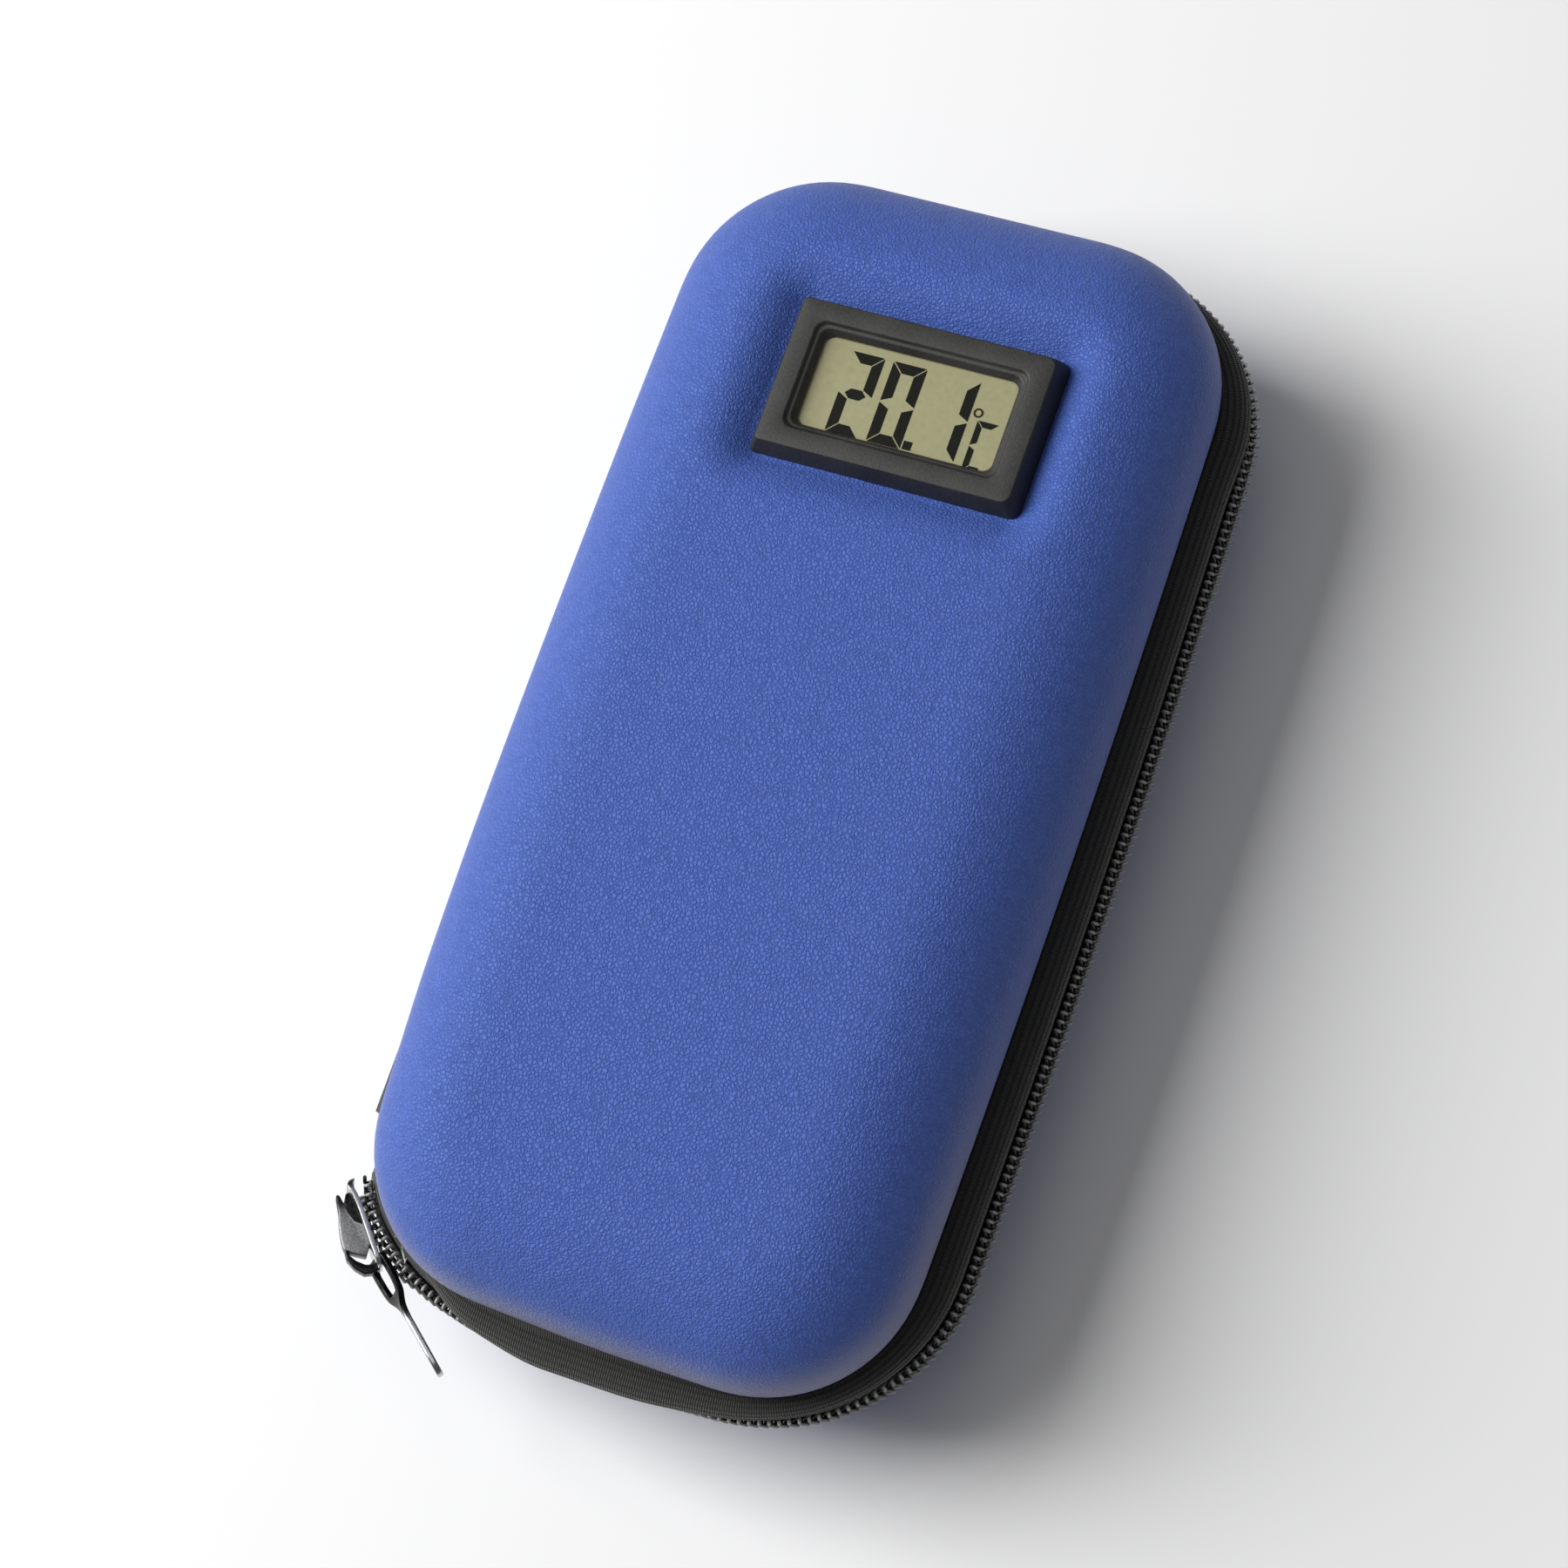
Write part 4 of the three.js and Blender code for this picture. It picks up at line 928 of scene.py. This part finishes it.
def chain_path():
    """A line along the chain's middle, from its closed end at -Y round to its open end."""
    piece = outline("chain_path", CHAIN, 0, ZIP, (24, SIDE_STEPS, 20))
    bpy.ops.mesh.delete(type="ONLY_FACE")
    drop_hinge_side(piece, CHAIN_END)
    piece.select_set(True)
    bpy.ops.object.convert(target="CURVE")
    if piece.data.splines[0].points[0].co.y > 0:
        bpy.ops.object.mode_set(mode="EDIT")
        bpy.ops.curve.select_all(action="SELECT")
        bpy.ops.curve.switch_direction()
        bpy.ops.object.mode_set(mode="OBJECT")
    return piece


def coil_half(name, path, body, node, upper):
    """One half of the chain: a wire coil whose turns bulge past the middle, all one wire."""
    leave()
    wire_radius, leg, reach, root, slant = 0.34, 0.5, 0.1, 1.2, 0.7
    bpy.ops.mesh.primitive_circle_add(
        vertices=8, radius=wire_radius, fill_type="NOTHING", location=(0, -leg, root))
    piece = new_piece(name)
    grow(slant, 0, reach - root)
    bpy.ops.mesh.spin(
        steps=5, angle=pi, center=(slant, 0, reach), axis=(-1, 0, 0))
    grow(COIL_PITCH - slant, 0, root - reach)
    bpy.ops.mesh.spin(steps=5, angle=pi, center=(COIL_PITCH, 0, root), axis=(-1, 0, 0))
    everything()
    bpy.ops.mesh.remove_doubles(threshold=0.001)
    bpy.ops.mesh.normals_make_consistent(inside=False)
    if not upper:
        bpy.ops.transform.rotate(
            value=pi, orient_axis="Y", center_override=(COIL_PITCH / 2, 0, 0))
        bpy.ops.transform.translate(value=(COIL_PITCH / 2, 0, 0))
    bpy.ops.transform.rotate(value=LEAN, orient_axis="X", center_override=(0, 0, 0))
    length = 2 * length_to(CHAIN_END)
    bpy.ops.transform.translate(value=(3, 0, 0))
    leave()
    # Painted highlight: how pale each place of the wire is painted, from 0 to 1.
    painted_glint = piece.data.attributes.new("painted_glint", "FLOAT", "POINT")
    for vertex in piece.data.vertices:
        out = vertex.co.y * cos(LEAN) + vertex.co.z * sin(LEAN)
        up = vertex.co.z * cos(LEAN) - vertex.co.y * sin(LEAN)
        painted_glint.data[vertex.index].value = max(
            0.35 * smooth(abs(out), 0.5, 0.8), smooth(abs(up), 1.5, 1.8))
    modify(piece, "ARRAY", count=int((length - 7) / COIL_PITCH), use_relative_offset=False,
           use_constant_offset=True, constant_offset_displace=(COIL_PITCH, 0, 0),
           use_merge_vertices=True, merge_threshold=0.02)
    modify(piece, "CURVE", object=path, deform_axis="POS_X")
    settle_chain(piece, 1.9, 1.2, 0.3 if upper else 1.0, -0.3)
    part_halves(piece, *((1.3, 0.1, 6) if upper else (-0.8, 0.5, 6)))
    edit(piece)
    pick("edges", lambda edge: edge.is_boundary)
    bpy.ops.mesh.edge_face_add()
    finished(piece, COIL_NYLON, body, 60, [node])


path = chain_path()
coil_half("lid_zipper_coil", path, "lid", "lid_zipper_teeth", True)
coil_half("base_zipper_coil", path, "base", "base_zipper_teeth", False)
leave()
path.select_set(True)
bpy.ops.object.delete()


# Slider and pull, shaped with X out of the chain, Y along it and Z across it.

TURN_CENTRE = (-21.9536, -75.5, ZIP)
ON_CHAIN = (Matrix.Translation(TURN_CENTRE) @ Matrix.Rotation(SLIDER_TURN, 4, "Z")
            @ Matrix.Translation((CHAIN["corner"], 0, 0)) @ Matrix.Rotation(-LEAN, 4, "Y")
            @ Matrix.Translation((0.2, 0.5, 0)))
PULL_PIVOT = (Matrix.Translation((2.5, 6.1, 0)) @ Matrix.Rotation(radians(9.5), 4, "Z")
              @ Matrix.Rotation(radians(-20), 4, "Y"))


def place(piece, matrix):
    leave()
    piece.select_set(True)
    bpy.context.view_layer.objects.active = piece
    piece.matrix_world = matrix
    bpy.ops.object.transform_apply(location=True, rotation=True, scale=True)


def block(name, low, high):
    """A cube with its size and place in its mesh, left in edit mode."""
    leave()
    middle = [(a + b) / 2 for a, b in zip(low, high)]
    bpy.ops.mesh.primitive_cube_add(
        size=1, location=middle, scale=[b - a for a, b in zip(low, high)])
    return new_piece(name)


def dark_reflection_mask(piece, rule):
    """Marks how black each place of a metal piece is painted, from 0 to 1: a painted dark
    reflection.
    """
    leave()
    layer = piece.data.attributes.new("dark_reflection_mask", "FLOAT", "POINT")
    for vertex in piece.data.vertices:
        layer.data[vertex.index].value = rule(vertex.co)
    return piece


def slider_plate(name, side):
    """A plate drawn in behind and flared at the mouth, with rounded corners."""
    low, high = sorted((side * 2.0, side * 2.9))
    piece = block(name, (low, -9, -3.5), (high, 7.8, 3.5))
    pick("edges", lambda edge: abs(edge.verts[0].co.x - edge.verts[1].co.x) > 0.5)
    bpy.ops.mesh.bevel(offset=2.2, segments=7)
    for y in (-8, -6.6, -5.4, -4.2, -2.5, 0, 3, 5):
        everything()
        bpy.ops.mesh.bisect(plane_co=(0, y, 0), plane_no=(0, 1, 0))

    def flare(co):
        rear = min(max((co.y + 3) / 8, 0), 1)
        mouth = min(max((-2.5 - co.y) / 5.5, 0), 1)
        co.z *= 1 - 0.12 * rear + 0.08 * mouth
        co.x += side * (0.7 * mouth * mouth - 1.2 * max(-co.y - 7, 0) ** 2 / 4)

    reshape(flare)
    leave()
    round_edges(piece, 0.26)
    # The mouth end of the plate is painted black: a painted dark reflection.
    return dark_reflection_mask(piece, lambda co: min(max(-co.y - 7, 0), 1))


# Side views of the crown's parts: place along the chain and out of it, in three lines.
CAP = (
    (-7.3, 5.6, -7.2, 5.3, -7.0, 5.0), (-5.6, 5.9, -5.4, 5.3, -5.2, 4.7),
    (-3.9, 6.2, -3.7, 5.4, -3.5, 4.6), (-1.6, 6.9, -1.4, 5.4, -1.7, 4.0),
    (0.6, 7.3, 0.5, 5.0, -0.4, 2.4), (1.8, 7.4, 2.2, 5.2, 2.4, 2.4),
    (2.7, 7.4, 4.0, 5.7, 5.0, 4.1),
)
PROW = (
    (-7.0, 3.9, -7.1, 3.5, -7.2, 3.1), (-5.4, 4.8, -5.4, 3.6, -5.4, 2.4),
    (-3.6, 4.9, -3.6, 3.6, -3.6, 2.4), (-0.8, 4.8, -0.6, 3.6, -0.4, 2.4),
)
ARCH = (
    (1.9, 7.3, 2.3, 6.9, 2.7, 6.4), (4.4, 7.5, 4.2, 7.1, 3.9, 6.7),
    (6.4, 6.7, 5.8, 6.3, 5.1, 6.0), (7.9, 5.4, 7.1, 5.0, 6.3, 4.7),
    (8.2, 4.0, 7.4, 3.9, 6.6, 3.7), (7.9, 2.4, 7.2, 2.4, 6.5, 2.4),
)


def crown_part(name, rows, thickness, mask):
    leave()
    last = len(rows) - 1
    bpy.ops.mesh.primitive_grid_add(x_subdivisions=last, y_subdivisions=2, size=2)
    piece = new_piece(name)

    def shape(co):
        row, column = round((co.x + 1) / 2 * last), 2 * round(1 - co.y)
        co.xyz = rows[row][column + 1], rows[row][column], 0

    reshape(shape)
    turn_outward()
    leave()
    thicken(piece, thickness)
    round_edges(piece, 0.3)
    return dark_reflection_mask(piece, mask)


def slider_post():
    leave()
    bpy.ops.mesh.primitive_cylinder_add(
        vertices=24, radius=1.1, depth=4.6, location=(0, -5.0, 0), rotation=(0, pi / 2, 0))
    piece = new_piece("post")
    leave()
    return piece


def slider_flange(side):
    low, high = sorted((side * 3.2, side * 2.7))
    piece = block("flange", (-2.4, -2.8, low), (-1.4, 4, high))
    bpy.ops.mesh.bevel(offset=0.15, segments=2)
    leave()
    return piece


# The prow and the arch are painted black all over: a painted dark reflection.
slider = merge_pieces("slider_body", [
    slider_plate("outer_plate", 1), slider_plate("inner_plate", -1),
    crown_part("prow", PROW, 1.9, lambda co: 1), crown_part("arch", ARCH, 2.3, lambda co: 1),
    slider_post(), slider_flange(-1), slider_flange(1)])
place(slider, ON_CHAIN)
finished(slider, NICKEL, "slider", 40, ["zipper_slider"])
# The cap is painted black at its front: a painted dark reflection.
cap = crown_part("slider_cap", CAP, 2.5, lambda co: min(max((-3.6 - co.y) / 0.6, 0), 1))
place(cap, ON_CHAIN)
finished(cap, SATIN, "slider", 40, ())

# Distance from the pin, half width, and half width of the hole at each row of the pull.
PULL_ROWS = (
    (-0.6, 2.7, 1.3), (0.0, 3.2, 1.8), (0.7, 3.35, 2.0), (4.0, 3.3, 2.0), (6.6, 3.0, 1.7),
    (7.6, 2.5, 0.9), (8.6, 1.6, 0.6), (9.8, 1.15, 0.4), (10.8, 1.3, 0.5), (11.8, 1.7, 0.6),
    (12.6, 1.85, 0.75), (15.6, 2.05, 0.8), (19.2, 2.25, 0.85), (20.2, 2.25, 0.7),
    (21.8, 2.0, 0.6), (22.8, 1.4, 0.45), (23.4, 0.6, 0.2),
)
EYE_ROWS = (2, 4)
SLOT_ROWS = (10, 12)


def pull_tab():
    leave()
    bpy.ops.mesh.primitive_grid_add(
        x_subdivisions=len(PULL_ROWS) - 1, y_subdivisions=3, size=2)
    piece = new_piece("pull_tab")
    last = len(PULL_ROWS) - 1

    def shape(co):
        row = round((co.x + 1) / 2 * last)
        away, half, hole = PULL_ROWS[row]
        column = round((co.y + 1) / 2 * 3)
        turn = radians(29) * smooth(away, 6.5, 12)
        across = (-half, -hole, hole, half)[column]
        co.xyz = across * sin(turn), away, across * cos(turn)

    reshape(shape)

    def opening(face):
        centre = face.calc_center_median()
        return hypot(centre.x, centre.z) < 0.1 and any(
            PULL_ROWS[first][0] < centre.y < PULL_ROWS[end][0]
            for first, end in (EYE_ROWS, SLOT_ROWS))

    pick("faces", opening)
    bpy.ops.mesh.delete(type="FACE")
    leave()
    thicken(piece, 1.15)
    round_edges(piece, 0.28, 2)
    subdivide_once(piece)
    return piece


# The pull's ring and neck are painted black: a painted dark reflection.
tab = dark_reflection_mask(pull_tab(), lambda co: smooth(-co.y, -12.5, -10.5))
place(tab, ON_CHAIN @ PULL_PIVOT)
finished(tab, NICKEL, "pull", 40, ["zipper_pull"])


def end_stop(name, angle, side, body):
    """A cramp folded over the last bit of the tape's edge."""
    low, high = sorted((side * 0.3, side * 2.9))
    piece = block(name, (-1.3, -1.5, low), (1.3, 1.5, high))
    bpy.ops.mesh.bevel(offset=0.45, segments=3)
    x, y, z = TURN_CENTRE
    leave()
    place(piece, Matrix.Translation((x, copysign(y, angle), z)) @ Matrix.Rotation(angle, 4, "Z")
          @ Matrix.Translation((CHAIN["corner"] - 3.8, 0, 0)) @ Matrix.Rotation(-LEAN, 4, "Y"))
    end = "closed" if angle < 0 else "open"
    finished(piece, BLACKENED, body, 40, [f"{body}_stop_{end}_end"])


for angle in (-CHAIN_END, CHAIN_END):
    end_stop("lid_end_stop", angle, 1, "lid")
    end_stop("base_end_stop", angle, -1, "base")


# Panel thermometer.

def meter_frame():
    """The front frame with its stepped window, and the walls behind it, as one shell."""
    leave()
    x, y = FRAME_CENTRE
    low = FRAME_TOP - FRAME_DEPTH
    bpy.ops.mesh.primitive_plane_add(size=2, location=(x, y, low))
    piece = new_piece("thermometer_frame")
    stretch((*METER_HALF, 1), (x, y, low))
    pick("verts", lambda vertex: vertex.co.x > x)
    bpy.ops.mesh.bevel(affect="VERTICES", offset=1.6, segments=5, profile=0.5)
    pick("verts", lambda vertex: vertex.co.x < x - 22)
    bpy.ops.mesh.bevel(affect="VERTICES", offset=0.8, segments=5, profile=0.5)
    pick("faces", lambda face: True)

    def step(half, z, before, corner=None):
        grow(0, 0, z)
        stretch((half[0] / before[0], half[1] / before[1], 1), (x, y, 0))
        if corner:
            reshape(lambda co: round_corner(co, half, corner), True)
        return half

    def round_corner(co, half, corner):
        """Moves a corner's vertices onto an arc of another radius."""
        side = [copysign(1, co.x - x), copysign(1, co.y - y)]
        near = [abs(co.x - x) / half[0], abs(co.y - y) / half[1]]
        if min(near) < 0.86:
            return
        soft = 1.6 if side[0] > 0 else 0.8
        was = [soft / half for half in METER_HALF]
        turn = atan2((near[1] - 1 + was[1]) / was[1], (near[0] - 1 + was[0]) / was[0])
        co.x = x + side[0] * (half[0] - corner + corner * cos(turn))
        co.y = y + side[1] * (half[1] - corner + corner * sin(turn))

    half = step(METER_HALF, FRAME_TOP - FLANGE - low, METER_HALF)
    half = step((25.2, 15.0), 0, half)
    half = step((25.0, 14.85), 0.9, half)
    half = step((23.5, 13.8), FLANGE - 0.9, half)
    half = step((19.9, 10.3), 0, half, 2.0)
    for wide, deep in (((19.5, 9.9), -0.7), ((18.9, 9.35), 0), ((18.15, 8.65), -1.3),
                       ((18.0, 8.5), -0.25)):
        half = step(wide, deep, half)
    half = step((21.5, 11.7), 0, half)
    half = step((21.5, 11.7), low - (FRAME_TOP - 2.25), half)
    bottom = low + NEAR
    pick("faces", lambda face: face.calc_center_median().z < bottom and len(face.verts) > 8)
    bpy.ops.mesh.delete(type="ONLY_FACE")
    pick("edges", lambda edge: edge.is_boundary)
    bpy.ops.mesh.bridge_edge_loops()
    turn_outward()
    leave()
    round_edges(piece, 0.26, angle=35)
    return piece


finished(meter_frame(), FRAME_PLASTIC, "lid", 40, ["meter_frame"])

DISPLAY_TOP = 54.2
STROKE = 1.9


def mark(points):
    """A flat mark on the display with the given corners."""
    leave()
    bpy.ops.mesh.primitive_circle_add(
        vertices=len(points), radius=1, fill_type="NGON", location=(0, 0, DISPLAY_TOP))
    piece = new_piece("mark")
    mesh = bmesh.from_edit_mesh(piece.data)
    for vertex, (x, y) in zip(mesh.verts, points):
        vertex.co.x, vertex.co.y = x, y
    bmesh.update_edit_mesh(piece.data)
    grow(0, 0, 0.06)
    turn_outward()
    leave()
    return piece


def digit(left, right, bottom, top, bars, stroke=STROKE, gap=0.16):
    """The bars of one digit with mitred ends, from the seven letters A to G."""
    middle, half = (bottom + top) / 2, stroke / 2

    def level(edge, inner):
        return [(left + gap, edge), (right - gap, edge), (right - gap - stroke, inner),
                (left + gap + stroke, inner)]

    def upright(edge, inner, end, way):
        return [(edge, end), (inner, end - way * stroke), (inner, middle + way * (gap + half)),
                (edge, middle + way * gap)]

    shapes = {
        "A": level(top, top - stroke),
        "B": upright(right, right - stroke, top - gap, 1),
        "C": upright(right, right - stroke, bottom + gap, -1),
        "D": level(bottom, bottom + stroke),
        "E": upright(left, left + stroke, bottom + gap, -1),
        "F": upright(left, left + stroke, top - gap, 1),
        "G": [(left + half + gap, middle), (left + stroke + gap, middle + half),
              (right - stroke - gap, middle + half), (right - half - gap, middle),
              (right - stroke - gap, middle - half), (left + stroke + gap, middle - half)],
    }
    return [mark(shapes[bar]) for bar in bars]


marks = digit(-11.3, -5.2, 55.2, 70.7, "ABGED")
marks += digit(-3.6, 2.7, 55.3, 70.7, "ABCDEF")
marks += digit(6.8, 12.6, 55.4, 70.8, "BC")
marks += digit(14.3, 18.3, 54.5, 64.0, "ADEF", 1.1, 0.12)
marks.append(mark([(3.0, 55.5), (4.6, 55.5), (4.6, 57.1), (3.0, 57.1)]))
leave()
bpy.ops.mesh.primitive_torus_add(
    location=(13.95, 65.3, DISPLAY_TOP), major_radius=0.72, minor_radius=0.17,
    major_segments=24, minor_segments=6)
ring = new_piece("degree_ring")
leave()
digits = merge_pieces("display_digits", marks + [ring])
finished(digits, INK, "lid", 30, ())


for name, material in (
    ("window_pane", WINDOW), ("display_panel", DISPLAY), ("contact_strip", RUBBER),
    ("circuit_board", BOARD), ("rear_cover", CASE_PLASTIC), ("battery_door", CASE_PLASTIC),
    ("controller_blob", RESIN), ("thermistor", RESIN), ("button_cell_1", STEEL),
    ("button_cell_2", STEEL), ("cell_contact_1", BRASS), ("cell_contact_2", BRASS),
):
    dress(nodes[name], material)


# Fabric hinge, from seam to seam across the fold line.

SPINE_HALF = 79.0
SPINE_LINE = (
    (-48.15, 17.0), (-48.15, 22.4), (-49.2, 23.2), (-51.4, 23.9), (-53.6, 25.2), (-55.0, 26.8),
    (-55.4, 28.0),
)


def spine():
    leave()
    line = SPINE_LINE + tuple((x, 2 * ZIP - z) for x, z in SPINE_LINE[-2::-1])
    bpy.ops.mesh.primitive_plane_add(size=1, location=(0, 0, 0))
    piece = new_piece("spine_fabric")
    (x, z) = line[0]
    reshape(lambda co: setattr(co, "xyz", (x, copysign(SPINE_HALF, co.y), z + 0.5 * co.x)))
    pick("verts", lambda vertex: vertex.co.z > z)
    bpy.ops.mesh.delete(type="VERT")
    pick("verts", lambda vertex: True)
    bpy.ops.mesh.edge_face_add()
    reshape(lambda co: setattr(co, "z", z))
    lengths = [0.0]
    for (x, z), (next_x, next_z) in zip(line, line[1:]):
        grow(next_x - x, 0, next_z - z)
        lengths.append(lengths[-1] + hypot(next_x - x, next_z - z))
    leave()
    lay_cloth_map(piece, lambda index, co: (co.y, lengths[min(
        range(len(line)), key=lambda k: hypot(line[k][0] - co.x, line[k][1] - co.z))]))
    edit(piece)
    pick("edges", lambda edge: abs(edge.verts[0].co.y - edge.verts[1].co.y) > 1)
    bpy.ops.mesh.subdivide(number_cuts=39)
    turn_outward()

    def follow_bow(co):
        share = min(abs(co.y) / 79.1, 1)
        if co.x > -54:
            co.x -= BODY["bow"] * (1 - share ** 2) * min((co.x + 54) / 5, 1)
        else:
            co.x += 0.6 + 1.2 * smooth(-co.y, 40, 79)

    reshape(follow_bow)
    leave()
    subdivide_once(piece)
    thicken(piece, 0.8)
    finished(piece, SPINE_CLOTH, None, 60, ["base_spine_flap", "lid_spine_flap"])
    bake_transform(piece)


spine()


# Inside of the base: gel packs, foam tray and elastic straps.

def boolean(piece, tool, operation="DIFFERENCE"):
    modify(piece, "BOOLEAN", object=tool, operation=operation, solver="EXACT")
    leave()
    tool.select_set(True)
    bpy.ops.object.delete()


def foam_tray():
    piece = outline("foam_tray", BODY, -7, 14.5, (8, 20, 8))
    grow(0, 0, 15.5)
    leave()
    for x in (-26, 0, 26):
        bpy.ops.mesh.primitive_cylinder_add(
            vertices=48, radius=9, depth=168, location=(x, 0, 27), rotation=(pi / 2, 0, 0))
        trough = new_piece("trough")
        pick("verts", lambda vertex: vertex.co.z > 27.5)
        reshape(lambda co: setattr(co, "z", 40) if co.z > 27.5 else None)
        leave()
        boolean(piece, trough)
    bpy.ops.mesh.primitive_cylinder_add(
        vertices=64, radius=22, depth=70, location=(0, 0, 43), rotation=(0, pi / 2, 0))
    scoop = new_piece("scoop")
    leave()
    boolean(piece, scoop)
    edit(piece)
    everything()
    bpy.ops.mesh.remove_doubles(threshold=0.001)
    bpy.ops.mesh.dissolve_limited(angle_limit=radians(1))
    leave()
    round_edges(piece, 0.7, angle=40)
    return piece


tray = finished(foam_tray(), FOAM, "base", 35, ["pen_tray"])


# The two insets together stay within the corner's radius, or its vertices would cross.
GEL_CORNER, GEL_WELD, GEL_EDGE = 12, 2.6, 8.6


def gel_pack(name, node):
    """Two films welded round the edge and swollen between, a little creased."""
    low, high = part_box(node)
    x, y, middle = ((a + b) / 2 / MM for a, b in zip(low, high))
    half_x, half_y, swell = ((b - a) / 2 / MM for a, b in zip(low, high))
    halves = []
    for side in (1, -1):
        shape = {"width": half_x, "length": half_y, "corner": GEL_CORNER, "bow": 0}
        piece = outline(f"{name}_film", shape, 0, 0, (6, 24, 20))
        bpy.ops.mesh.inset(thickness=GEL_WELD, depth=0)
        inset_round(7, GEL_EDGE, swell - 0.4)
        top = max(vertex.co.z for vertex in bmesh.from_edit_mesh(piece.data).verts)
        fill_top(top, 26, 3)
        everything()
        bpy.ops.transform.translate(value=(0, 0, 0.35))
        if side < 0:
            stretch((1, 1, -1), (0, 0, 0))
        leave()
        halves.append(piece)
    pack = merge_pieces(name, halves)
    edit(pack)
    pick("edges", lambda edge: edge.is_boundary)
    bpy.ops.mesh.bridge_edge_loops()
    turn_outward()

    def crease(co):
        wave = sin(co.x * 0.31 + 1.3 * sin(co.y * 0.12)) * sin(co.y * 0.23 + 0.8)
        share = min(abs(co.z) / swell, 1)
        co.z -= copysign(0.28 * share * (1 + wave), co.z)

    reshape(crease)
    bpy.ops.transform.translate(value=(x, y, middle))
    leave()
    subdivide_once(pack)
    finished(pack, GEL, "base", 60, [node])


gel_pack("gel_pack_thermometer_end", "gel_pack_2")
gel_pack("gel_pack_slider_end", "gel_pack_1")


def strap(name, node):
    """Flat elastic across the tray."""
    low, high = [[value / MM for value in corner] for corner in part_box(node)]
    leave()
    middle = [(a + b) / 2 for a, b in zip(low, high)]
    bpy.ops.mesh.primitive_grid_add(
        x_subdivisions=78, y_subdivisions=18, size=1, location=middle)
    piece = new_piece(name)
    stretch((high[0] - low[0], high[1] - low[1], 1), middle)
    leave()
    lay_cloth_map(piece, lambda index, co: (co.x, co.y))
    thicken(piece, high[2] - low[2])
    round_edges(piece, 0.2, 2)
    finished(piece, ELASTIC, "base", 40, [node])


strap("elastic_strap_slider_end", "elastic_strap_1")
strap("elastic_strap_thermometer_end", "elastic_strap_2")


# Net pocket in the lid.

NET_Z = 38.35
NET_EDGE = 36.0
NET_INSET = 6.4


def net_pocket():
    piece = outline("net_pocket_sheet", BODY, -NET_INSET, NET_Z, (8, SIDE_STEPS, 12))
    bpy.ops.mesh.bisect(
        plane_co=(0, NET_EDGE, 0), plane_no=(0, 1, 0), clear_outer=True, use_fill=False)
    pick("faces", lambda face: True)
    bpy.ops.mesh.inset(thickness=1.2, depth=0)
    leave()
    area = sum(face.area for face in piece.data.polygons)
    lay_cloth_map(piece, lambda index, co: (co.x, co.y))
    thicken(piece, 0.5)
    finished(piece, NET, "lid", 40, ["net_pocket"])
    return piece, area


def net_hem():
    leave()
    bpy.ops.mesh.primitive_cylinder_add(
        vertices=16, radius=1.05, depth=2 * (BODY["width"] - NET_INSET - 1.1),
        location=(0, NET_EDGE, NET_Z), rotation=(0, pi / 2, 0))
    piece = new_piece("net_pocket_hem")
    leave()
    lay_cloth_map(piece, lambda index, co: (co.x, co.y * 2 + co.z))
    round_edges(piece, 0.4)
    return finished(piece, ELASTIC, "lid", 60, ())


pocket, pocket_area = net_pocket()
hem = net_hem()
